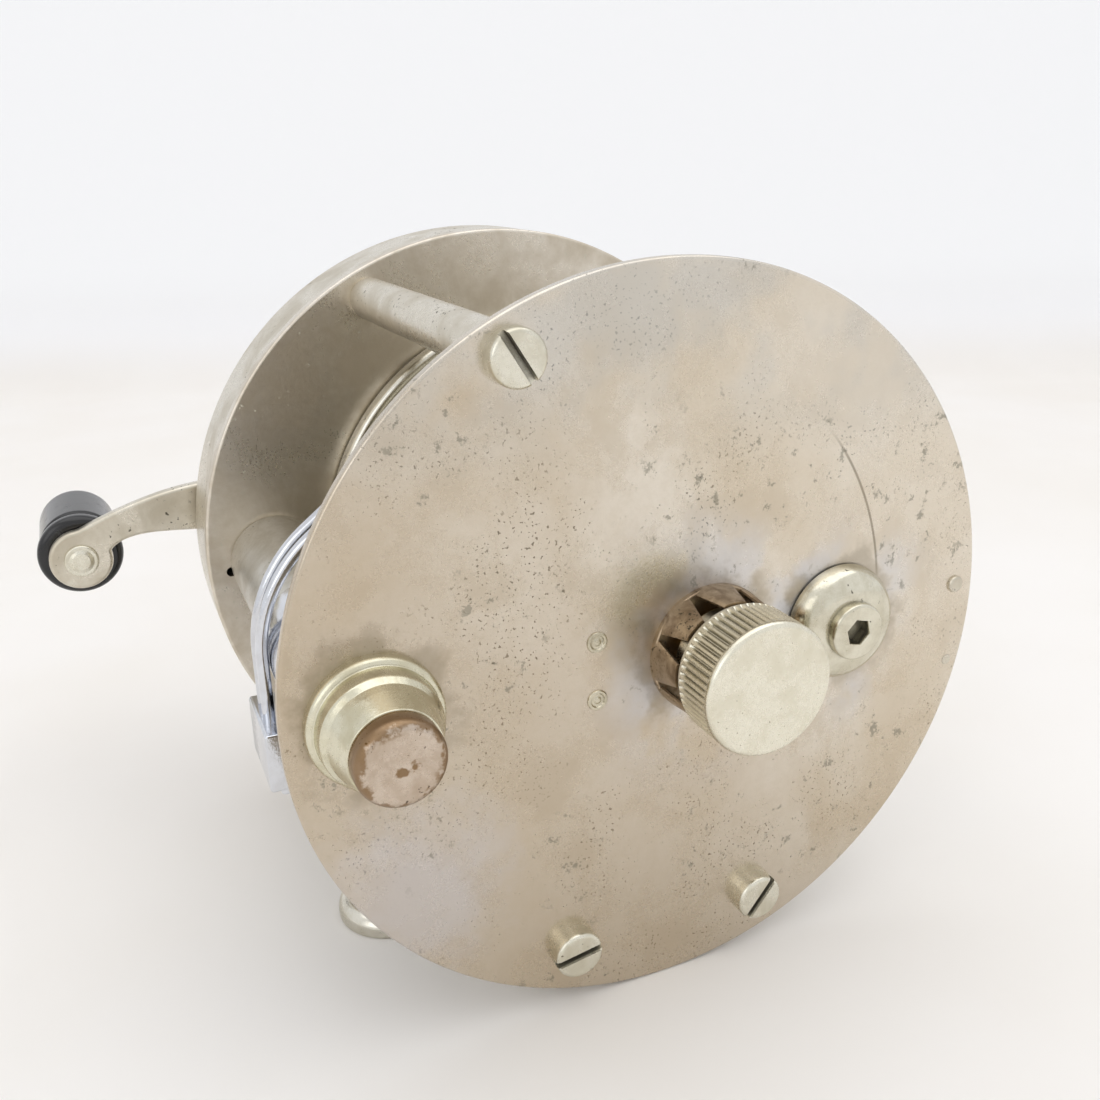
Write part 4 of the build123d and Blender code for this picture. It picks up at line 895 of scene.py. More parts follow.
@dataclass(frozen=True)
class Composition:
    """A turned and polished black composition: a dielectric with faint turning marks and fine dust."""

    name: str
    body: str
    dust: str
    roughness: float

    def make(self) -> bpy.types.Material:
        """The material, ready to assign."""
        material = bpy.data.materials.new(self.name)
        material.use_nodes = True
        tree = material.node_tree
        tree.nodes.clear()
        place = millimetres(tree)
        worn = node(tree, "MapRange", {
            "Value": node(tree, "TexNoise", {
                "Vector": place, "Scale": 1 / 2.5, "Detail": 4.0, "Roughness": 0.65,
            }).outputs["Fac"],
            1: 0.45, 2: 0.75, 3: 0.0, 4: 0.5,
        }, interpolation_type="SMOOTHSTEP").outputs[0]
        colour = node(tree, "Mix", {0: worn, 6: self.body, 7: self.dust}, data_type="RGBA").outputs[2]
        rings = node(tree, "TexNoise", {
            "Vector": millimetres(tree, stretch=(0.18, 40, 40)), "Scale": 1 / 1.0, "Detail": 2.0,
            "Roughness": 0.5,
        }).outputs["Fac"]
        rough = node(tree, "MapRange", {
            "Value": worn, 1: 0.0, 2: 0.5, 3: self.roughness, 4: self.roughness + 0.15,
        }, interpolation_type="SMOOTHSTEP").outputs[0]
        bump = node(tree, "Bump", {"Height": rings, "Strength": 0.3, "Distance": 0.02 * MM})
        shader = node(tree, "BsdfPrincipled", {"Base Color": colour, "Metallic": 0.0, "Roughness": rough,
                                               "IOR": 1.55, "Normal": bump.outputs["Normal"]})
        node(tree, "OutputMaterial", {"Surface": shader.outputs["BSDF"]})
        return material


class Finish(Enum):
    """The finishes of this reel; each value's name is the record's material slot."""

    # satin nickel plate on brass: warm grey, dull patches, dark pits
    SATIN = ("satin_nickel", Metal("satin_nickel_aged", "#d8d2c4", "#b7ad98", 0.27, 0.12, speck_level=0.64))
    # nickel plate buffed bright: nearly a mirror, faintly warm
    POLISHED = ("polished_nickel", Metal("polished_nickel_aged", "#dedbd0", "#bfb8a6", 0.16, 0.1, 4.0, 0.45))
    # nickel silver as turned on the lathe: greenish cream, softly shining
    TURNED = ("turned_nickel", Metal("turned_nickel_aged", "#e2dfd1", "#bfb79f", 0.24, 0.12, 3.5, 0.5, 0.4,
                                     0.68, "#5b4a2c"))
    # chromium plate: a cold clean mirror
    CHROME = ("bright_chrome", Metal("bright_chromium", "#d9dce2", "#b9b7b8", 0.07, 0.08, 5.0, 0.3, 0.5, 0.72))
    # spring bronze gone brown
    BRONZE = ("worn_bronze", Metal("worn_spring_bronze", "#bba88e", "#7a6650", 0.32, 0.15, 1.5, 0.8, 0.35, 0.6))
    # brass as cut, slightly dulled by oil
    BRASS = ("gear_brass", Metal("cut_brass", "#d6b36a", "#9b7a3c", 0.25, 0.12, 3.0, 0.5))
    # ground steel with an oil film
    STEEL = ("bright_steel", Metal("oiled_steel", "#b9b9ba", "#837b70", 0.22, 0.12, 3.0, 0.5))
    # polished black composition
    GRIP = ("black_grip", Composition("black_composition", "#121214", "#3a3a3c", 0.16))
    # vulcanised fibre, matte red-brown
    FIBRE = ("red_fibre", Composition("vulcanised_fibre", "#6b2418", "#8a4a38", 0.6))

    @property
    def slot(self) -> str:
        """The record's material slot."""
        return self.value[0]


class Shop:
    """Makes each material once, and puts pieces into the scene in place of their CAD nodes."""

    def __init__(self) -> None:
        """Makes one material for each finish."""
        self.materials = {finish: finish.value[1].make() for finish in Finish}

    def show(self, shell: Shell, stands_for: str, finish: Finish,
             material: bpy.types.Material | None = None, also: Sequence[str] = ()) -> bpy.types.Object:
        """Builds a shell as a piece that stands for a CAD node and rides on its body.

        Args:
            shell: the surfaces.
            stands_for: the CAD node, which is then hidden; the piece takes its name and body.
            finish: the finish whose material it takes, where no material is given.
            material: a material of its own, where the finish's general one isn't enough.
            also: further CAD nodes that the piece stands for.

        Returns:
            The piece.
        """
        piece = shell.build(stands_for + "_shown")
        piece.data.materials.append(material or self.materials[finish])
        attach(piece, frame["nodes"][stands_for]["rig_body"])
        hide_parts(stands_for, *also)
        log.info("made %s: %d faces", piece.name, len(piece.data.polygons))
        return piece

    def dress_rest(self) -> None:
        """Gives every CAD node still shown the material of its slot; their meshes are left alone."""
        by_slot = {finish.slot: self.materials[finish] for finish in Finish}
        for name, cad in frame["nodes"].items():
            if cad.hide_render:
                continue
            for holder in cad.material_slots:
                slot = holder.material.name.split(".")[0] if holder.material else Finish.STEEL.slot
                holder.material = by_slot.get(slot, self.materials[Finish.STEEL])
            log.info("dressed %s", name)


# ---- fasteners ----

@dataclass
class SlottedScrew:
    """A cheese-head screw: a disc, and above it two half-round lands either side of the slot."""

    radius: float
    height: float
    slot: float = 0.55
    depth: float = 0.75
    round_over: float = 0.35
    points: int = 40

    def land(self, radius: float, gap: float, turn: float, side: int) -> Points:
        """The D-shaped outline on one side of the slot: an arc, and a chord gap from the middle.

        Args:
            radius: the head's radius.
            gap: half the slot's width.
            turn: the slot's angle, in radians.
            side: 1 or -1, for the side of the slot.

        Returns:
            The outline's points.
        """
        start = math.asin(gap / radius)
        angles = np.linspace(start, math.pi - start, self.points)
        bow = radius * np.stack([np.cos(angles), np.sin(angles)], 1)
        chord = np.linspace(bow[-1], bow[0], self.points // 2 + 2)[1:-1]
        flat = np.vstack([bow, chord]) * side
        cos_turn, sin_turn = math.cos(turn), math.sin(turn)
        return flat @ np.array([[cos_turn, sin_turn], [-sin_turn, cos_turn]])

    def add(self, shell: Shell, axle: Axle, turn_degrees: float) -> None:
        """Adds the head, standing on the axle's start, to a shell.

        Args:
            shell: where the head goes.
            axle: its line, starting on the seat.
            turn_degrees: the slot's angle.
        """
        base = self.height - self.depth
        disc = rounded([(-0.4, 0, 0), (-0.4, self.radius * 0.6, 0), (0, self.radius * 0.6, 0), (0, self.radius, 0),
                        (base, self.radius, 0), (base, 0, 0)])
        turned(shell, axle, disc, 96)
        turn = math.radians(turn_degrees)
        sweep = np.linspace(0, math.pi / 2, 6)
        r, chamfer = self.round_over, 0.06
        levels = [(base, 0.0, 0.0), (self.height - r, 0.0, 0.0)]
        levels += [(self.height - r * (1 - s), r * (1 - c), chamfer * (s > 0.8)) for s, c
                   in zip(np.sin(sweep[1:]), np.cos(sweep[1:]))]
        levels += [(self.height, r + HOLD, chamfer + HOLD)]
        for side in (1, -1):
            rings = []
            for up, shrink, widen in levels:
                outline = self.land(self.radius - shrink, self.slot / 2 + widen, turn, side)
                rings.append(axle.place(np.full(len(outline), up), np.hypot(*outline.T),
                                        np.arctan2(outline[:, 1], outline[:, 0])))
            numbers = shell.add(np.stack(rings))
            shell.skin(numbers)
            shell.fan(numbers[-1], rings[-1].mean(0))
            shell.fan(numbers[0], rings[0].mean(0))


# ---- sub-assemblies ----

@dataclass
class SidePlates:
    """The two round plates and the deep housing over the gears."""

    edge_round: float = 0.28
    housing_round: float = 0.95
    housing_wall: float = 1.1
    housing_face: float = 1.3
    screw_hole: float = 1.15
    rivet_hole: float = 0.5
    spring_rivet: tuple[float, float] = (6.67, 2.54)     # (Y, half the distance between them)
    brace_rivets: tuple[float, float] = (1.1, -6.5)      # heights over the middle
    housing_post: float = 2.3
    post_bore: float = 0.95
    bushing_hole: float = 3.4            # at both ends of the spool's line
    cap_hole: float = 3.7
    crank_hole: float = 4.3
    shaft_hole: float = 1.53
    stud_hole: float = 1.2
    worm_hole: float = 1.43
    pin_hole: float = 0.5
    tap_hole: float = 0.9
    screw_circle: float = 26.5
    points: int = 256

    def __post_init__(self) -> None:
        """Reads the plates' places from the frame."""
        self.tail = Span.of("tail_plate")
        self.head = Span.of("head_plate")
        self.housing = Span.of("gear_housing")
        self.radius = self.tail.size[1] / 2
        self.middle = self.tail.middle[1:]

    def pillar_places(self) -> list[Points]:
        """(Y, Z) of the top pillar and of the two lower ones."""
        lower = Span.of("bottom_pillars")
        reach = lower.size[1] / 2 - lower.size[2] / 2
        return [Span.of("top_pillar").middle[1:], *(lower.middle[1:] + (way * reach, 0.0) for way in (1, -1))]

    def common_holes(self) -> list[Points]:
        """Holes that both plates have: pillar screws and brace rivets."""
        holes = [circle(self.screw_hole, place, 32) for place in self.pillar_places()]
        brace_y = Span.of("rear_brace").middle[1]
        return holes + [circle(self.rivet_hole, (brace_y, self.middle[1] + height), 20)
                        for height in self.brace_rivets]

    def add_tail(self, shop: Shop) -> None:
        """The plain plate at the tail, in its own stained finish.

        Args:
            shop: makes the materials and puts the pieces into the scene.
        """
        knob, click = Span.of("tension_cap").middle[1:], Span.of("click_button").middle[1:]
        cap = Span.of("level_wind_cap").middle[1:]
        holes = self.common_holes()
        holes.append(circle(Span.of("tail_bushing").size[1] / 2, knob))
        holes.append(circle(self.cap_hole, cap))
        y, half = self.spring_rivet
        holes += [circle(0.6, (y, self.middle[1] + side * half), 20) for side in (1, -1)]
        slot = np.vstack([arc(click + (1.6, 0), 1.35, -90, 90, 12), arc(click, 1.35, 90, 270, 12)])
        holes.append(slot)
        shell = Shell()
        extruded(shell, circle(self.radius, self.middle, self.points), self.tail.low[0],
                 edge_profile(self.tail.size[0], self.edge_round, self.edge_round), 1, holes)
        material = AgedPlate("tail_plate_aged", "#dcd4c7", "#c4b7a2", 0.2, 0.12, 7.0, 0.55, 0.3, 0.62,
                             "#615e50", 9.0, knob=tuple(knob), click=tuple(click), cap=tuple(cap),
                             middle=float(self.middle[1])).make()
        shop.show(shell, "tail_plate", Finish.SATIN, material)

    def add_head(self, shop: Shop) -> None:
        """The plate on the gear side, with the holes for the gear train's pivots.

        Args:
            shop: makes the materials and puts the pieces into the scene.
        """
        holes = self.common_holes()
        axis_z = self.middle[1]
        tube = Span.of("level_wind_tube")
        holes += [circle(self.bushing_hole, Span.of("head_bushing").middle[1:]),
                  circle(self.shaft_hole, Span.of("gear_shaft").middle[1:]),
                  circle(self.stud_hole, Span.of("idler_stud").middle[1:], 32),
                  circle(self.worm_hole, tube.middle[1:], 32)]
        holes.append(circle(self.pin_hole, (tube.high[1], axis_z - 0.8), 20))
        holes += [circle(self.tap_hole, place, 24) for place in self.housing_screw_places()]
        shell = Shell()
        extruded(shell, circle(self.radius, self.middle, self.points), self.head.low[0],
                 edge_profile(self.head.size[0], self.edge_round, 0.02), 1, holes)
        material = Metal("head_plate_aged", "#dfd8cc", "#bdb19c", 0.28, 0.1, 8.0, 0.7, 0.5, 0.66, "#d5d2c4",
                         6.0).make()
        shop.show(shell, "head_plate", Finish.SATIN, material)

    def housing_screw_places(self) -> list[Points]:
        """(Y, Z) of the three screws that hold the housing on."""
        turn = np.radians((120.0, 200.0, -35.0))
        return list(self.middle + self.screw_circle * np.stack([np.cos(turn), np.sin(turn)], 1))

    def add_housing(self, shop: Shop) -> None:
        """The cup over the gears: outer face, rounded shoulder, wall, and the same inside.

        Args:
            shop: makes the materials and puts the pieces into the scene.
        """
        x_open, x_face = self.housing.low[0], self.housing.high[0]
        outer, inner = self.radius, self.radius - self.housing_wall
        profile = rounded([(x_face, outer - 3, 0), (x_face, outer, self.housing_round), (x_open, outer, 0),
                           (x_open, inner, 0), (x_face - self.housing_face, inner, 0.5),
                           (x_face - self.housing_face, inner - 3, 0)], 8)
        shell = Shell()
        axle = Axle((0.0, *self.middle), (1.0, 0.0, 0.0))
        rings = turned(shell, axle, profile, self.points)
        holes = [circle(self.bushing_hole, Span.of("spool_bearing").middle[1:]),
                 circle(self.crank_hole, Span.of("handle_bearing").middle[1:])]
        holes += [circle(self.post_bore, place, 24) for place in self.housing_screw_places()]
        bore(shell, rings[0], rings[-1], x_face, x_face - self.housing_face, holes)
        for place in self.housing_screw_places():
            post = np.array([(x_open, self.post_bore), (x_open, self.housing_post),
                             (x_face - 1.2, self.housing_post), (x_face - 1.2, self.post_bore)])
            turned(shell, Axle((0.0, *place), (1.0, 0.0, 0.0)), post, 32, closed=True)
        shop.show(shell, "gear_housing", Finish.SATIN)

    def build(self, shop: Shop) -> None:
        """Both plates, the housing and its screws.

        Args:
            shop: makes the materials and puts the pieces into the scene.
        """
        self.add_tail(shop)
        self.add_head(shop)
        self.add_housing(shop)
        shell = Shell()
        for place, turn in zip(self.housing_screw_places(), (150.0, 230.0, -5.0)):
            SlottedScrew(1.7, 1.0, 0.5, 0.5, 0.3).add(shell, Axle((self.housing.high[0], *place), (1, 0, 0)), turn)
        shop.show(shell, "housing_screws", Finish.POLISHED)


@dataclass
class Pillars:
    """The three round pillars, their slotted screws, and the flat bar with its rivets behind the spool."""

    plates: SidePlates
    round_over: float = 0.75
    slot_turns: tuple[float, float, float] = (58.0, -10.0, -52.0)
    head_tail: float = 2.16              # radius of the screw heads on each plate
    head_crank: float = 1.7
    head_height: float = 1.5
    bar_round: float = 0.35

    def build(self, shop: Shop) -> None:
        """Pillars, screws, bar and rivets.

        Args:
            shop: makes the materials and puts the pieces into the scene.
        """
        places = self.plates.pillar_places()
        x0, x1 = self.plates.tail.high[0], self.plates.head.low[0]
        radius = Span.of("top_pillar").size[1] / 2
        bar = rounded([(0, 0, 0), (0, radius, 0.1), (x1 - x0, radius, self.round_over), (x1 - x0, 0, 0)], 8)
        for node_name, chosen in (("top_pillar", places[:1]), ("bottom_pillars", places[1:])):
            shell = Shell()
            for place in chosen:
                turned(shell, Axle((x0, *place), (1, 0, 0)), bar, 96)
            shop.show(shell, node_name, Finish.SATIN)
        for node_name, x, way, head in (
                ("pillar_screws_tail", self.plates.tail.low[0], -1.0, self.head_tail),
                ("pillar_screws_head", self.plates.head.high[0], 1.0, self.head_crank)):
            shell = Shell()
            for place, turn in zip(places, self.slot_turns):
                SlottedScrew(head, self.head_height).add(shell, Axle((x, *place), (way, 0, 0)), turn)
            shop.show(shell, node_name, Finish.TURNED)
        self.add_bar(shop, x0, x1)

    def add_bar(self, shop: Shop, x0: float, x1: float) -> None:
        """The flat bar, rounded along its edges, and its rivets' heads on the tail plate.

        Args:
            shop: makes the materials and puts the pieces into the scene.
            x0: the bar's start.
            x1: its end.
        """
        box = Span.of("rear_brace")
        (y0, z0), (y1, z1) = box.low[1:], box.high[1:]
        r = self.bar_round
        outline = rounded([(y0, z0, r), (y1, z0, r), (y1, z1, r), (y0, z1, r)], 5, closed=True)
        shell = Shell()
        extruded(shell, outline, x0, edge_profile(x1 - x0, 0.0, 0.0, 1))
        shop.show(shell, "rear_brace", Finish.SATIN)
        shell = Shell()
        brace_y, face = box.middle[1], self.plates.tail.low[0]
        domed, flush = (self.plates.middle[1] + height for height in self.plates.brace_rivets)
        dome = rounded([(-1, 0, 0), (-1, 0.5, 0), (0, 0.5, 0), (0, 0.8, 0), (0.35, 0.8, 0.3), (0.35, 0, 0)])
        pin = np.array([(-1.1, 0), (-1.1, 0.48), (0.02, 0.48), (0.02, 0)])
        turned(shell, Axle((face, brace_y, domed)), dome, 48)
        turned(shell, Axle((face, brace_y, flush)), pin, 32)
        shop.show(shell, "brace_rivets", Finish.SATIN)


@dataclass
class Foot:
    """The reel's foot: a flat tongue at each end and a raised saddle under the lower pillars."""

    tongue_half: float = 5.2
    half_width: float = 7.2
    tongue: float = 1.9
    full_reach: float = 11.5
    tongue_start: float = 16.4
    ramp_degrees: float = 50.0
    tongue_round: float = 1.25
    saddle_round: float = 1.2

    def taper(self, y: Points) -> Points:
        """Half the foot's width at y, as a share of its full half width."""
        share = np.clip((np.abs(y) - self.full_reach) / (self.tongue_start - self.full_reach), 0, 1)
        return (self.half_width + (self.tongue_half - self.half_width) * share) / self.half_width

    def build(self, shop: Shop) -> None:
        """Two overlapping shells in one piece: the tongue plate and the saddle.

        Args:
            shop: makes the materials and puts the pieces into the scene.
        """
        box = Span.of("reel_foot")
        tip, w, t = box.size[1] / 2, self.half_width, self.tongue_half
        right = np.vstack([[(w, -self.full_reach), (w, self.full_reach), (t, self.tongue_start)],
                           arc((0, tip - t), t, 0, 180, 41), [(-t, self.tongue_start)]])
        plan = resampled(np.vstack([right, -right]), 361)
        shell = Shell()
        rings = np.stack([np.column_stack([inset(plan, amount), np.full(len(plan), up)])
                          for up, amount in edge_profile(self.tongue, 0.15, self.tongue_round, 8)])
        numbers = shell.add(rings)
        shell.skin(numbers)
        shell.cap(numbers[0], plane=(0, 1))
        shell.cap(numbers[-1], plane=(0, 1))
        saddle = box.high[2]
        foot = self.tongue_start
        crest = foot - (saddle - self.tongue) / math.tan(math.radians(self.ramp_degrees))
        flat = self.tongue - 0.06
        reach = self.full_reach
        side = rounded([(-foot - 2, 0.3, 0), (-reach, 0.3, 0), (reach, 0.3, 0), (foot + 2, 0.3, 0),
                        (foot + 2, flat, 0), (foot, flat, 1.6), (crest, saddle, 1.2), (reach, saddle, 0),
                        (-reach, saddle, 0), (-crest, saddle, 1.2), (-foot, flat, 1.6), (-foot - 2, flat, 0)], 8,
                       closed=True)
        profile = edge_profile(2 * w, 0.28, 0.28, 5)
        rings = np.stack([np.column_stack([np.full(len(side), along - w), inset(side, amount)])
                          for along, amount in profile])
        rings[..., 0] *= self.taper(rings[..., 1])
        numbers = shell.add(rings)
        shell.skin(numbers)
        shell.cap(numbers[0])
        shell.cap(numbers[-1])
        shop.show(shell, "reel_foot", Finish.POLISHED)


@dataclass
class Spool:
    """The spool: two dished flanges with turned-out lips, and the arbor between them."""

    lip: float = 1.4
    lip_wall: float = 1.3
    web: float = 0.9
    arbor_flare: float = 1.2

    def build(self, shop: Shop) -> None:
        """Both flanges and the arbor.

        Args:
            shop: makes the materials and puts the pieces into the scene.
        """
        for name, way in (("spool_flange_tail", -1.0), ("spool_flange_head", 1.0)):
            box = Span.of(name)
            outer = box.size[1] / 2
            inner_face = box.high[0] if way < 0 else box.low[0]
            depth = self.web + self.lip
            profile = rounded([(0, 1.6, 0), (0, outer - 1.8, 0), (0.25, outer - 0.9, 0.3), (0.0, outer, 0.5),
                               (depth, outer, 0.4), (depth, outer - self.lip_wall, 0.2),
                               (self.web, outer - self.lip_wall, 0.3), (self.web, 1.6, 0)], 6)
            shell = Shell()
            turned(shell, Axle((inner_face, *box.middle[1:]), (way, 0, 0)), profile, 256, closed=True)
            shop.show(shell, name, Finish.POLISHED)
        box = Span.of("spool_arbor")
        radius, length = box.size[1] / 2, box.size[0]
        profile = rounded([(0, 1.6, 0), (0, radius, 0), (length, radius, 0), (length, 1.6, 0)])
        shell = Shell()
        turned(shell, Axle((box.low[0], *box.middle[1:]), (1, 0, 0)), profile, 160, closed=True)
        shop.show(shell, "spool_arbor", Finish.POLISHED)


@dataclass
class TensionKnob:
    """The knurled cap over the spool's tail end, the springy fingers round it and the bushing inside."""

    knurls: int = 60
    knurl_depth: float = 0.26
    bead: float = 0.55
    band_radius: float = 5.3
    band: float = 0.9
    skirt_radius: float = 4.3
    crown_round: float = 0.5
    fingers: int = 8
    finger_wall: float = 0.45
    gap_base: float = 0.5
    gap_tip: float = 2.0
    cup_floor: float = 0.55

    def ridged(self, along: Points, turn: Points, radius: Points) -> Points:
        """Cuts the straight knurl: a V between ridges, fading out over 0.25 mm at each end.

        Args:
            along: distances along the cap.
            turn: angles round it.
            radius: the plain radii.

        Returns:
            The radii with the knurl cut.
        """
        start, end = self.knurl_span
        fade = np.clip(np.minimum(along - start, end - along) / 0.25, 0, 1)
        phase = np.mod(turn * self.knurls / FULL_TURN, 1.0)
        groove = np.clip(1.35 - np.abs(phase - 0.5) * 4, 0, 1)
        return radius - self.knurl_depth * groove * fade

    def add_cap(self, shop: Shop) -> None:
        """The cap: skirt, plain band, knurl, rounded bead and flat crown.

        Args:
            shop: makes the materials and puts the pieces into the scene.
        """
        box, collar = Span.of("tension_cap"), Span.of("spring_collar")
        outer = box.size[1] / 2
        length = box.size[0]
        band = box.high[0] - collar.low[0] + 0.15
        knurl = band + self.band
        self.knurl_span = (knurl, length - self.bead)
        rows = [(length - self.bead - step * (length - self.bead - knurl) / 12, outer, 0) for step in range(13)]
        corners = [(length, 0, 0), (length, outer, self.crown_round)]
        corners += [(length - self.bead + 0.1, outer, 0), *rows, (knurl, outer, 0), (knurl, self.band_radius, 0),
                    (band, self.band_radius, 0.3), (band, self.skirt_radius, 0), (0, self.skirt_radius, 0.15),
                    (0, 3.03, 0), (length - 2.6, 3.03, 0), (length - 2.6, 0, 0)]
        shell = Shell()
        profile = rounded(corners, 7)
        turned(shell, Axle((box.high[0], *box.middle[1:])), profile, self.knurls * 12, self.ridged)
        # dirt and painted shade darken the knurl's grooves, over 0.4 mm
        material = Metal("tension_cap_nickel", "#e8e4d4", "#cfc8b0", 0.24, 0.1, 4.0, 0.4, 0.35, 0.7,
                         "#6a5a38", dirt_and_shade=0.9, dirt_and_shade_reach=0.4).make()
        shop.show(shell, "tension_cap", Finish.TURNED, material)

    def add_collar(self, shop: Shop) -> None:
        """The cup's floor ring, and one curved strip for each finger, narrowing to its tip.

        Args:
            shop: makes the materials and puts the pieces into the scene.
        """
        box = Span.of("spring_collar")
        outer, length = box.size[1] / 2, box.size[0]
        shell = Shell()
        axle = Axle((box.high[0], *box.middle[1:]))
        floor = rounded([(0, 3.0, 0), (0, outer, 0), (self.cup_floor, outer, 0.15), (self.cup_floor, 3.0, 0)])
        turned(shell, axle, floor, 128, closed=True)
        share = np.linspace(0, 1, 14)
        along = self.cup_floor * 0.6 + share * (length - self.cup_floor * 0.6)
        radius = outer - 0.3 * share - self.finger_wall / 2
        gap = self.gap_base + (self.gap_tip - self.gap_base) * share
        half_turn = math.pi / self.fingers - gap / 2 / radius
        around = np.linspace(-1, 1, 17)
        wall = self.finger_wall / 2
        for finger in range(self.fingers):
            middle = FULL_TURN * finger / self.fingers
            turns = middle + around[None] * half_turn[:, None]
            # the strip's section: across the outside, then back across the inside, a little rounded
            soft = wall * np.sqrt(np.clip(1 - np.abs(around) ** 10, 0.15, 1))
            outside = axle.place(along[:, None], radius[:, None] + soft[None], turns)
            inside = axle.place(along[:, None], radius[:, None] - soft[None], turns)[:, ::-1]
            rings = np.concatenate([outside, inside], 1)
            numbers = shell.add(rings)
            shell.skin(numbers)
            shell.fan(numbers[0], rings[0].mean(0))
            shell.fan(numbers[-1], rings[-1].mean(0))
        shop.show(shell, "spring_collar", Finish.BRONZE)

    def build(self, shop: Shop) -> None:
        """The cap and the collar; the bushing inside keeps its CAD shape."""
        self.add_cap(shop)
        self.add_collar(shop)


@dataclass
class Click:
    """The sliding click button, and the ringed ends of its spring's rivets on the plate."""

    dome_height: float = 2.2
    nose_radius: float = 2.54
    socket: float = 1.1           # half the hexagon's width across its flats
    socket_depth: float = 1.2
    rivet_ring: float = 0.9

    def build(self, shop: Shop) -> None:
        """The domed button with its six-sided socket, then the rivets.

        Args:
            shop: makes the materials and puts the pieces into the scene.
        """
        box = Span.of("click_button")
        plate = Span.of("tail_plate")
        nose_x = box.low[0]
        radius = box.size[1] / 2
        base = plate.low[0] - 0.15 - nose_x
        shoulder = plate.low[0] - self.dome_height - nose_x
        nose = self.nose_radius
        bow = (base - 0.72 * (base - shoulder), nose + 0.7 * (radius - nose))
        dome = hermite([(shoulder, nose), bow, (base, radius)], [(0.1, 1), (0.7, 1), (1, 0.1)], 20)
        head = rounded([(0, nose - 1.0, 0), (0, nose, 0.3), (shoulder, nose, 0)], 5)
        profile = np.vstack([head, dome[1:], [(base, radius - 0.5), (base, 1.1), (plate.high[0] - nose_x, 1.1),
                                              (plate.high[0] - nose_x, 0.0)]])
        shell = Shell()
        axle = Axle((nose_x, *box.middle[1:]), (1, 0, 0))
        rings = turned(shell, axle, profile, 128)
        corners = circle(self.socket / math.cos(math.pi / 6), (0, 0), 6)
        hexagon = resampled(np.array([[math.cos(0.26), math.sin(0.26)], [-math.sin(0.26), math.cos(0.26)]]).T
                            .dot(corners.T).T, 48) + box.middle[1:]
        levels = np.stack([np.column_stack([np.full(48, nose_x + depth), inset(hexagon, shrink)])
                           for depth, shrink in ((0.0, 0.0), (0.08, 0.06), (self.socket_depth, 0.06))])
        wall = shell.add(levels)
        shell.skin(wall)
        shell.cap(rings[0], [wall[0]])
        shell.cap(wall[-1])
        # dirt and painted shade darken the socket and the button's hollows, over 2 mm
        material = Metal("click_nickel", "#dedac9", "#b3aa92", 0.16, 0.1, 4.0, 0.5, dirt_and_shade=0.95,
                         dirt_and_shade_reach=2.0).make()
        shop.show(shell, "click_button", Finish.POLISHED, material)
        self.add_rivets(shop, plate)

    def add_rivets(self, shop: Shop, plate: Span) -> None:
        """Two tubular rivet ends: a raised ring round a shallow dimple.

        Args:
            shop: makes the materials and puts the pieces into the scene.
            plate: the tail plate's box.
        """
        box = Span.of("click_spring_rivets")
        half = box.size[2] / 2 - self.rivet_ring
        ring = rounded([(-1.2, 0, 0), (-1.2, 0.58, 0), (0, 0.58, 0), (0, 0.9, 0), (0.15, 0.86, 0.09),
                        (0.15, 0.62, 0.06), (0.02, 0.55, 0.05), (0.02, 0.34, 0.05), (0.1, 0.2, 0.05), (0.1, 0, 0)], 4,
                       hold=0.0)
        shell = Shell()
        for side in (1, -1):
            turned(shell, Axle((plate.low[0], box.middle[1], box.middle[2] + side * half)), ring, 64)
        # dirt and painted shade darken the rivets' dimples and rings, over 0.35 mm
        material = Metal("rivet_nickel", "#cfc8b4", "#8d836c", 0.24, dirt_and_shade=0.95, dirt_and_shade_reach=0.35).make()
        shop.show(shell, "click_spring_rivets", Finish.TURNED, material)


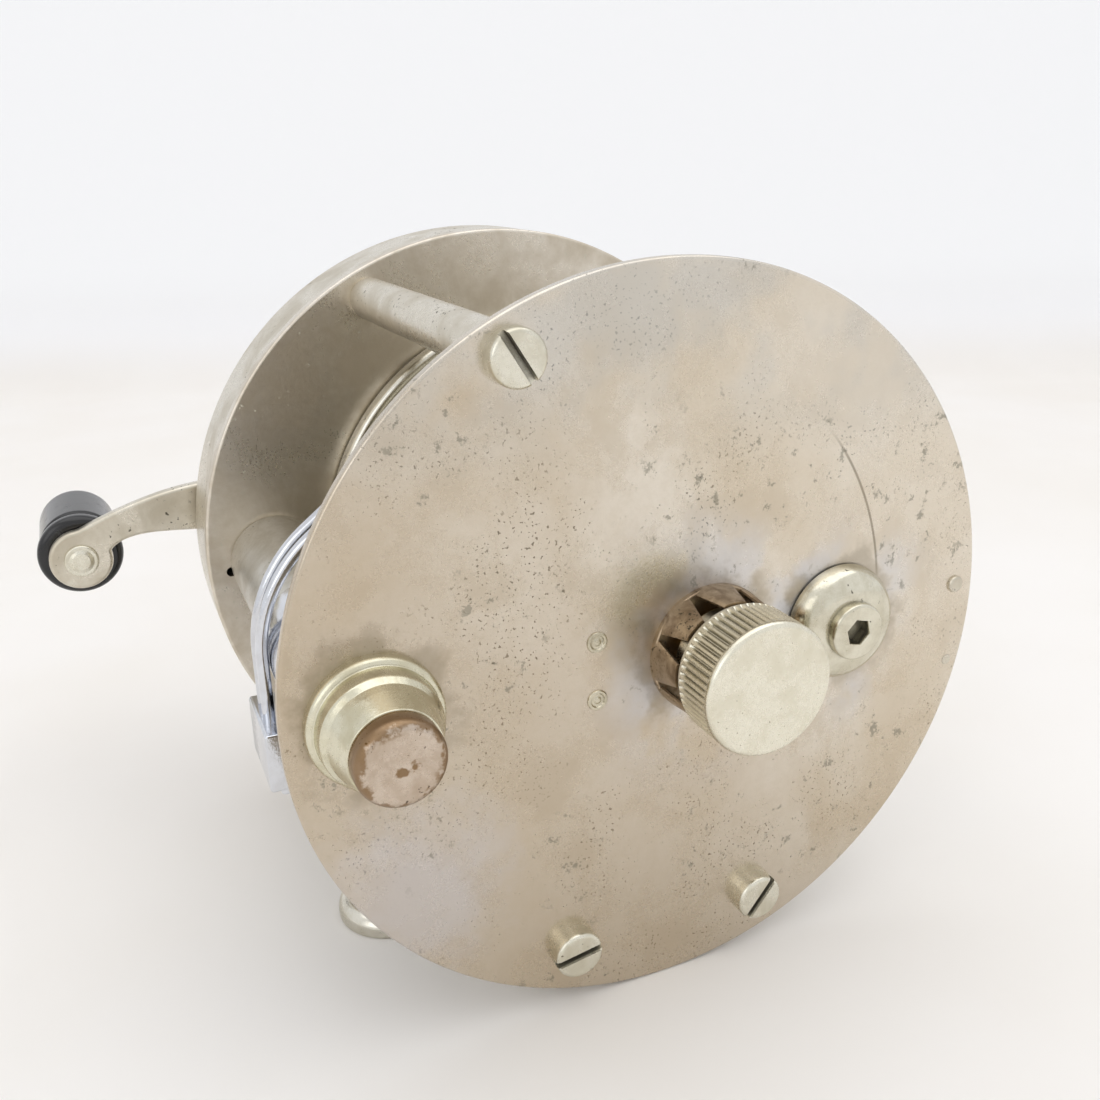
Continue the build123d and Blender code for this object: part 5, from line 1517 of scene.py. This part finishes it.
@dataclass
class LevelWind:
    """The fat tube and its stepped cap, the worm, and the carriage with its hairpin guide."""

    bore: float = 3.7
    tube_round: float = 0.65
    slot_half: float = 1.75
    slot_end: float = 2.35
    groove_pitch: float = 8.0       # millimetres along the worm for one turn of a groove
    groove_width: float = 1.1
    groove_depth: float = 0.9
    saddle_wall: float = 0.5
    wire: float = 0.52
    wire_gap: float = 2.2
    wire_bend: float = 12.5
    wire_drop: float = 3.4          # the leg's foot below the tube, its bend and its top over the axis
    wire_knee: float = 6.4
    wire_top: float = 13.9
    clearance: float = 0.06
    lip: float = 6.6
    plug: float = 3.67
    worm_bore: float = 1.43
    cap_flange: float = 1.15        # lengths along the stepped cap
    cap_barrel: float = 1.95
    cap_bead: float = 0.7

    def add_tube(self, shop: Shop) -> None:
        """The tube: an outer and an inner grid with the slot's cells left out, joined round every edge.

        Args:
            shop: makes the materials and puts the pieces into the scene.
        """
        box = Span.of("level_wind_tube")
        radius, x0, x1 = box.size[2] / 2, box.low[0], box.high[0]
        half = math.asin(self.slot_half / radius)
        turns = np.concatenate([np.linspace(-math.pi / 2 + half, 1.5 * math.pi - half, 121),
                                np.linspace(1.5 * math.pi - half, 1.5 * math.pi + half, 13)[1:-1]])
        slot_x = (x0 + self.slot_end, x1 - self.slot_end)
        mouth = rounded([(x0, radius, 0), (x1, radius, self.tube_round), (x1, self.bore, 0)], 7)
        mouth = mouth[mouth[:, 0] > slot_x[1] + 0.1]
        body = np.linspace(*slot_x, 33)
        outer = np.vstack([[(x0, radius)], np.column_stack([body, np.full(33, radius)]), mouth])
        inner = np.vstack([[(x0, self.bore)], np.column_stack([body, np.full(33, self.bore)]),
                           [(x1, self.bore)]])
        shell = Shell()
        axle = Axle((0.0, *box.middle[1:]), (1, 0, 0))
        outside = shell.add(axle.place(outer[:, :1], outer[:, 1:], turns[None]))
        inside = shell.add(axle.place(inner[:, :1], inner[:, 1:], turns[None]))
        in_slot = np.arange(len(turns)) >= 120
        for grid, ring_count in ((outside, len(outer)), (inside, len(inner))):
            keep = np.ones((ring_count - 1, len(turns)), bool)
            keep[1:33] = ~in_slot[None]
            shell.skin(grid, keep)
        shell.skin(np.stack([outside[0], inside[0]]))
        shell.skin(np.stack([outside[-1], inside[-1]]))
        for column in (120, 0):
            shell.skin(np.stack([outside[1:34, column], inside[1:34, column]]), wrap=False)
        around = np.append(np.arange(120, len(turns)), 0)
        for row in (1, 33):
            shell.skin(np.stack([outside[row, around], inside[row, around]]), wrap=False)
        material = Metal("tube_satin_nickel", "#c9c6be", "#a59c8a", 0.3, 0.12, 5.0, 0.6).make()
        shop.show(shell, "level_wind_tube", Finish.SATIN, material)

    def add_caps(self, shop: Shop) -> None:
        """The stepped cap outside the tail plate and the small cap on its end.

        Args:
            shop: makes the materials and puts the pieces into the scene.
        """
        box, end = Span.of("level_wind_cap"), Span.of("level_wind_end_cap")
        plate = Span.of("tail_plate")
        face = plate.low[0]
        flange, out = box.size[1] / 2, face - box.low[0]
        brim = self.cap_flange
        step, bead = brim + self.cap_barrel, brim + self.cap_barrel + self.cap_bead
        corners = [(-2.3, self.worm_bore, 0), (-2.3, self.plug, 0), (0, self.plug, 0), (0, flange, 0),
                   (brim, flange, 0.55), (brim, 4.75, 0.12), (step - 0.5, 4.64, 0.5), (step, 4.24, 0.15),
                   (bead, 4.06, 0.8), (out, 3.5, 0.1), (out, self.worm_bore, 0)]
        shell = Shell()
        turned(shell, Axle((face, *box.middle[1:])), rounded(corners, 6), 200, closed=True)
        material = Metal("cap_nickel_silver", "#dcd8c3", "#b5ab8a", 0.22, 0.12, 3.0, 0.5, 0.35, 0.7,
                         "#4e3f22").make()
        shop.show(shell, "level_wind_cap", Finish.TURNED, material)
        radius, height = end.size[1] / 2, end.size[0]
        small = rounded([(0, 0, 0), (0, radius, 0.12), (height, radius, 0.8), (height, 0, 0)], 9)
        shell = Shell()
        turned(shell, Axle((box.low[0], *end.middle[1:])), small, 160)
        material = WornButton("end_cap_worn_nickel", "#cdbfb0", "#a08a72", 0.22, 0.12, 2.6, 0.4, 0.3, 0.64,
                              "#3d2c18", 3.0, axis=tuple(end.middle[1:]), rim=float(radius)).make()
        shop.show(shell, "level_wind_end_cap", Finish.TURNED, material)

    def grooved(self, along: Points, turn: Points, radius: Points) -> Points:
        """The worm's relief: two helical grooves, one of each hand, cut where the shaft is thick.

        A groove's depth falls off with the distance, along the shaft, to the nearest turn of its helix.

        Args:
            along: distances along the shaft.
            turn: angles round it.
            radius: the plain radii.

        Returns:
            The radii with the grooves cut.
        """
        thick = np.clip((self.worm_half - np.abs(along)) / 0.4, 0, 1)
        cut = np.zeros_like(radius)
        for hand in (1, -1):
            offset = np.mod(along - hand * self.groove_pitch * turn / FULL_TURN, self.groove_pitch)
            offset = np.minimum(offset, self.groove_pitch - offset)
            cut = np.maximum(cut, np.clip((self.groove_width - offset) / 0.35, 0, 1))
        return radius - self.groove_depth * cut * thick

    def add_worm(self, shop: Shop) -> None:
        """The shaft with its crossing grooves and plain journals.

        Args:
            shop: makes the materials and puts the pieces into the scene.
        """
        box = Span.of("worm_shaft")
        plates = Span.of("tail_plate").high[0]
        self.worm_half = -plates - 2.45
        h, thick, thin = self.worm_half, box.size[1] / 2, 1.4
        body = np.column_stack([np.linspace(-h, h, 260), np.full(260, thick)])
        profile = np.vstack([[(box.low[0], 0), (box.low[0], thin), (-h - 0.8, thin)], body,
                             [(h + 0.8, thin), (box.high[0], thin), (box.high[0], 0)]])
        shell = Shell()
        turned(shell, Axle((0.0, *box.middle[1:]), (1, 0, 0)), profile, 120, self.grooved)
        shop.show(shell, "worm_shaft", Finish.STEEL)

    def add_carriage(self, shop: Shop) -> None:
        """The carriage: a hook round the tube's front and a block below, one outline carried along X.

        Args:
            shop: makes the materials and puts the pieces into the scene.
        """
        box, tube = Span.of("carriage"), Span.of("level_wind_tube")
        axis_y, axis_z = tube.middle[1], tube.middle[2]
        bore = tube.size[2] / 2 + self.clearance
        saddle = bore + self.saddle_wall
        back, front = box.low[1], box.high[1]
        top = axis_z - tube.size[2] / 2
        bottom = box.low[2] + 1.2
        hook = axis_y - back
        outer_end = math.degrees(math.asin((top - axis_z) / saddle))
        outer_start = 180 - math.degrees(math.acos(hook / saddle))
        inner_start = math.degrees(math.acos(-hook / bore))
        centre = (axis_y, axis_z)
        outline = np.vstack([arc(centre, saddle, outer_start, outer_end, 60),
                             rounded([(front - 0.6, top, 0), (front, top, 0.25), (front, bottom, 0.3),
                                      (back, bottom, 0.3), (back, bottom + 1.0, 0)], 5),
                             arc(centre, bore, -inner_start, inner_start, 60)])[::-1]
        shell = Shell()
        extruded(shell, outline, box.low[0], edge_profile(box.size[0], 0.14, 0.14, 3))
        lip = rounded([(axis_y + 3.2, box.low[2], 0.2), (front - 1.0, box.low[2], 0.3),
                       (front - 1.0, bottom + 0.2, 0), (axis_y + 3.2, bottom + 0.2, 0)], 4, closed=True)
        extruded(shell, lip, box.high[0] - self.lip, edge_profile(self.lip, 0.12, 0.12, 3))
        shop.show(shell, "carriage", Finish.CHROME)

    def add_guide(self, shop: Shop) -> None:
        """The hairpin: a line with rounded corners up one leg, across and down the other, given thickness.

        Args:
            shop: makes the materials and puts the pieces into the scene.
        """
        box, tube = Span.of("line_guide"), Span.of("level_wind_tube")
        axis_z, radius = tube.middle[2], tube.size[2] / 2
        root_y, end_y = box.high[1] - self.wire, box.low[1] + self.wire
        xs = (box.low[0] + self.wire, box.high[0] - self.wire)
        leg = [(root_y, -radius - self.wire_drop, 0.0), (root_y, self.wire_knee, self.wire_bend),
               (end_y, self.wire_top, self.wire_gap / 2 - 0.02)]
        corners = [(xs[0], y, axis_z + z, r) for y, z, r in leg]
        corners += [(xs[1], y, axis_z + z, r) for y, z, r in reversed(leg)]
        path = resampled(rounded(corners, 14, hold=0.0), 260, closed=False)
        shell = Shell()
        lean = np.array((0.0, end_y - root_y, self.wire_top - self.wire_knee))
        swept(shell, path, self.wire, 28, np.cross((1.0, 0.0, 0.0), lean))
        shop.show(shell, "line_guide", Finish.CHROME)

    def build(self, shop: Shop) -> None:
        """Every piece of the level wind that shows.

        Args:
            shop: makes the materials and puts the pieces into the scene.
        """
        self.add_tube(shop)
        self.add_caps(shop)
        self.add_worm(shop)
        self.add_carriage(shop)
        self.add_guide(shop)


@dataclass
class Crank:
    """The S-shaped arm, its nut, and a turned grip on a headed spindle at each end."""

    half: float = 36.75
    tip_drop: float = 0.95
    bow_at: float = 22.8
    bow: float = 3.3
    hub: float = 5.2
    eye: float = 3.2
    waist: float = 5.3
    edge_round: float = 0.35
    ring: float = 4.34
    neck: float = 3.45
    barrel: float = 4.1

    def outline(self) -> Points:
        """The arm's outline about its hub: two smooth edges and the eye's arc, then the same turned over.

        The lower edge stops where it meets the eye's circle, and the arc goes on from there.
        """
        tip = np.array((self.half, -self.tip_drop))
        w = self.waist / 2
        upper = hermite([(0, self.hub), (self.bow_at, self.bow + w), tip + (0, self.eye)],
                        [(1, 0), (1, -0.04), (1, -0.45)], 40)
        lower = hermite([(0, -self.hub), (self.bow_at, self.bow - w), tip - (self.eye * 0.8, 0)],
                        [(1, 0.3), (1, -0.04), (0.6, -1)], 40)
        lower = lower[np.linalg.norm(lower - tip, axis=1) > self.eye]
        last = lower[-1] - tip
        meet = math.degrees(math.atan2(last[1], last[0]))
        eye = arc(tip, self.eye, 88, meet - 360, 60)
        half = np.vstack([upper, eye, lower[::-1]])
        return resampled(np.vstack([half, -half[1:-1]])[::-1], 420)

    def build(self, shop: Shop) -> None:
        """Arm, nut, spindles and grips.

        Args:
            shop: makes the materials and puts the pieces into the scene.
        """
        box = Span.of("handle_arm")
        hub = Span.of("gear_shaft").middle[1:]
        square = rounded([(-1.9, -1.9, 0.2), (1.9, -1.9, 0.2), (1.9, 1.9, 0.2), (-1.9, 1.9, 0.2)], 3, closed=True)
        tips = [np.array((way * self.half, -way * self.tip_drop)) for way in (1, -1)]
        holes = [square + hub] + [circle(1.1, tip + hub, 32) for tip in tips]
        shell = Shell()
        extruded(shell, self.outline() + hub, box.low[0],
                 edge_profile(box.size[0], self.edge_round, self.edge_round, 4), 1, holes)
        shop.show(shell, "handle_arm", Finish.SATIN)
        self.add_nut(shop)
        for tip, name in zip(tips, ("front", "rear")):
            self.add_grip(shop, name, tip + hub, box)

    def add_nut(self, shop: Shop) -> None:
        """The six-sided nut: at each height the smaller of the hexagon and a cone that chamfers it.

        Args:
            shop: makes the materials and puts the pieces into the scene.
        """
        box = Span.of("handle_nut")
        flat = box.size[2] / 2 if box.size[2] < box.size[1] else box.size[1] / 2

        def six_sided(along: Points, turn: Points, radius: Points) -> Points:
            """Distance to the hexagon's side, held inside the profile's own radius."""
            across = flat / np.cos(np.mod(turn, math.pi / 3) - math.pi / 6)
            return np.where(radius > 2.0, np.minimum(across, radius), radius)

        h = box.size[0]
        corners = [(0, 1.5, 0), (0, 3.5, 0), (0.15, 3.8, 0), (h - 1.2, 3.75, 0.3), (h - 0.25, 3.05, 0.3),
                   (h, 2.4, 0.3), (h, 1.5, 0)]
        shell = Shell()
        turned(shell, Axle((box.low[0], *box.middle[1:]), (1, 0, 0)), rounded(corners, 6), 180, six_sided,
               closed=True)
        shop.show(shell, "handle_nut", Finish.POLISHED)

    def add_grip(self, shop: Shop, name: str, place: Points, arm: Span) -> None:
        """One grip, with its ring, neck and domed barrel, and the spindle's ringed head behind the arm.

        Args:
            shop: makes the materials and puts the pieces into the scene.
            name: front or rear.
            place: (Y, Z) of its line.
            arm: the crank arm's box.
        """
        box = Span.of("grip_" + name)
        length = box.size[0]
        corners = [(0.0, 1.13, 0), (0, self.ring, 0.8), (2.0, self.ring, 0.85), (2.05, self.neck, 0.15),
                   (2.9, self.neck, 0.15), (3.0, self.barrel, 0.6), (length, self.barrel, 2.9), (length, 0, 0)]
        profile = rounded(corners, 10)
        profile = np.vstack([[(12.0, 0.0), (12.0, 1.13)], profile])
        shell = Shell()
        turned(shell, Axle((box.low[0], *place), (1, 0, 0)), profile, 128)
        shop.show(shell, "grip_" + name, Finish.GRIP)
        head = rounded([(-13.5, 0, 0), (-13.5, 1.1, 0.2), (0, 1.1, 0), (0, 1.75, 0.1), (0.35, 1.7, 0.2),
                        (0.3, 1.25, 0.15), (0.5, 0.9, 0.2), (0.5, 0, 0)], 5, hold=0.0)
        shell = Shell()
        turned(shell, Axle((arm.low[0], *place)), head, 96)
        shop.show(shell, "grip_spindle_" + name, Finish.TURNED)


# ---- the studio ----

@dataclass
class Studio:
    """A pale sweep, a large overhead soft box, a side fill and the camera."""

    camera_at: tuple[float, float, float] = (-90.95, 41.06, 70.45)
    look: tuple[float, float, float] = (0.8648, -0.3713, -0.3381)
    roll: float = -0.0211
    lens: float = 35.93
    wall_distance: float = 372.0        # from the camera, level
    sweep_round: float = 28.0
    sweep_width: float = 2600.0

    def add_camera(self) -> None:
        """The camera: its frame is built from the look direction, then rolled about it."""
        look = np.array(self.look) / np.linalg.norm(self.look)
        right = np.cross(look, (0, 0, 1))
        right /= np.linalg.norm(right)
        up = np.cross(right, look)
        turned_right = right * math.cos(self.roll) + up * math.sin(self.roll)
        turned_up = np.cross(turned_right, look)
        camera = bpy.data.cameras.new("viewpoint")
        camera.lens, camera.sensor_width = self.lens, 36.0
        camera.clip_start, camera.clip_end = 0.005, 20.0
        holder = bpy.data.objects.new("viewpoint", camera)
        axes = np.column_stack([turned_right, turned_up, -look])
        holder.matrix_world = (Matrix.Translation(Vector(self.camera_at) * MM)
                               @ Matrix(axes.tolist()).to_4x4())
        bpy.context.scene.collection.objects.link(holder)
        bpy.context.scene.camera = holder

    def add_sweep(self) -> None:
        """Floor and wall in one sheet: a level line, a quarter arc and an upright line, carried sideways."""
        away = np.array((self.look[0], self.look[1], 0.0))
        away /= np.linalg.norm(away)
        side = np.cross((0, 0, 1), away)
        start = np.array((*self.camera_at[:2], 0.0))
        turn = np.linspace(0, math.pi / 2, 17)
        r = self.sweep_round
        run = np.concatenate([[-1200.0, 0.0], self.wall_distance - r + r * np.sin(turn), [self.wall_distance]])
        up = np.concatenate([[0.0, 0.0], r * (1 - np.cos(turn)), [900.0]])
        across = np.linspace(-self.sweep_width / 2, self.sweep_width / 2, 5)
        grid = (start + run[:, None, None] * away + across[None, :, None] * side
                + up[:, None, None] * np.array((0, 0, 1.0)))
        shell = Shell()
        shell.skin(shell.add(grid), wrap=False)
        floor = shell.build("paper_sweep")
        floor.data.materials.append(self.paper())

    def paper(self) -> bpy.types.Material:
        """Matt white paper with a trace of warmth, a shade cooler up the wall."""
        material = bpy.data.materials.new("white_paper")
        material.use_nodes = True
        tree = material.node_tree
        tree.nodes.clear()
        place = millimetres(tree)
        height = node(tree, "SeparateXYZ", {0: place}).outputs["Z"]
        cloud = node(tree, "MapRange", {
            "Value": node(tree, "TexNoise", {
                "Vector": place, "Scale": 1 / 60.0, "Detail": 3.0, "Roughness": 0.5,
            }).outputs["Fac"],
            1: 0.3, 2: 0.7,
        }, interpolation_type="SMOOTHSTEP").outputs[0]
        floor = node(tree, "Mix", {0: cloud, 6: "#f3f0ec", 7: "#f0ece6"}, data_type="RGBA").outputs[2]
        colour = node(tree, "Mix", {
            0: node(tree, "MapRange", {
                "Value": height, 1: 1.0, 2: 22.0,
            }, interpolation_type="SMOOTHSTEP").outputs[0],
            6: floor, 7: "#fbfbfd",
        }, data_type="RGBA").outputs[2]
        shader = node(tree, "BsdfPrincipled", {"Base Color": colour, "Roughness": 0.9})
        # the wall alone is shown partly at its own colour; the floor is lit, and keeps the shadow
        plain = node(tree, "Emission", {"Color": "#f7f8fa", "Strength": 1.0})
        share = node(tree, "Math", {
            0: self.background_rays(tree),
            1: node(tree, "MapRange", {
                "Value": height, 1: 4.0, 2: 40.0, 3: 0.0, 4: 0.75,
            }, interpolation_type="SMOOTHSTEP").outputs[0],
        }, operation="MULTIPLY").outputs[0]
        mixed = node(tree, "MixShader", {0: share, 1: shader.outputs["BSDF"], 2: plain.outputs["Emission"]})
        node(tree, "OutputMaterial", {"Surface": mixed.outputs["Shader"]})
        return material

    def add_light(self, name: str, place: tuple[float, float, float], aim: tuple[float, float, float],
                  size: tuple[float, float], radiance: float) -> None:
        """A rectangular soft box; its power is radiance times pi times its area.

        Args:
            name: the lamp's name.
            place: its middle.
            aim: the point it faces.
            size: its two sides.
            radiance: its brightness; 1 is white.
        """
        light = bpy.data.lights.new(name, "AREA")
        light.shape, light.size, light.size_y = "RECTANGLE", size[0] * MM, size[1] * MM
        light.energy = radiance * math.pi * size[0] * size[1] * MM * MM
        holder = bpy.data.objects.new(name, light)
        holder.location = Vector(place) * MM
        holder.rotation_euler = (Vector(aim) - Vector(place)).to_track_quat("-Z", "Y").to_euler()
        bpy.context.scene.collection.objects.link(holder)

    def add_world(self) -> None:
        """A pale room: bright all round, a little darker low down behind the camera."""
        world = bpy.data.worlds.new("pale_room")
        bpy.context.scene.world = world
        world.use_nodes = True
        tree = world.node_tree
        tree.nodes.clear()
        way = node(tree, "TexCoord").outputs["Generated"]
        towards = node(tree, "VectorMath", {0: way, 1: (-0.55, 0.8, -0.1)}, operation="DOT_PRODUCT").outputs["Value"]
        dim = node(tree, "MapRange", {
            "Value": towards, 1: 0.1, 2: 0.9,
        }, interpolation_type="SMOOTHSTEP").outputs[0]
        colour = node(tree, "Mix", {0: dim, 6: "#f0f2f6", 7: "#8f8c88"}, data_type="RGBA").outputs[2]
        seen = self.background_rays(tree)
        shown = node(tree, "Mix", {0: seen, 6: colour, 7: "#f6f6f7"}, data_type="RGBA").outputs[2]
        strength = node(tree, "MapRange", {"Value": seen, 3: 1.2, 4: 1.0}).outputs[0]
        background = node(tree, "Background", {"Color": shown, "Strength": strength})
        node(tree, "OutputWorld", {"Surface": background.outputs["Background"]})

    def background_rays(self, tree: bpy.types.NodeTree) -> bpy.types.NodeSocket:
        """1 for camera, glossy and transmission rays, so that metal shows the same background.

        Args:
            tree: the material's or world's node tree.

        Returns:
            The socket.
        """
        rays = node(tree, "LightPath").outputs
        mirrored = node(tree, "Math", {
            0: rays["Is Glossy Ray"], 1: rays["Is Transmission Ray"],
        }, operation="MAXIMUM").outputs[0]
        return node(tree, "Math", {0: rays["Is Camera Ray"], 1: mirrored}, operation="MAXIMUM").outputs[0]

    def build(self) -> None:
        """Everything round the object, and the view transform."""
        self.add_camera()
        self.add_sweep()
        self.add_world()
        self.add_light("overhead_box", (40, -60, 700), (0, 0, 30), (900, 900), 0.8)
        self.add_light("left_box", (-350, 520, 330), (0, 0, 35), (420, 420), 0.75)
        bpy.context.scene.view_settings.view_transform = "Standard"


def main() -> None:
    """Builds the reel's sub-assemblies in order, dresses what is left, and sets the studio."""
    logging.basicConfig(level=logging.INFO, format="%(name)s: %(message)s")
    Studio().build()
    shop = Shop()
    plates = SidePlates()
    for part in (plates, Pillars(plates), Foot(), Spool(), TensionKnob(), Click(), LevelWind(), Crank()):
        part.build(shop)
        log.info("built %s", type(part).__name__)
    shop.dress_rest()


if __name__ == "__main__":
    main()
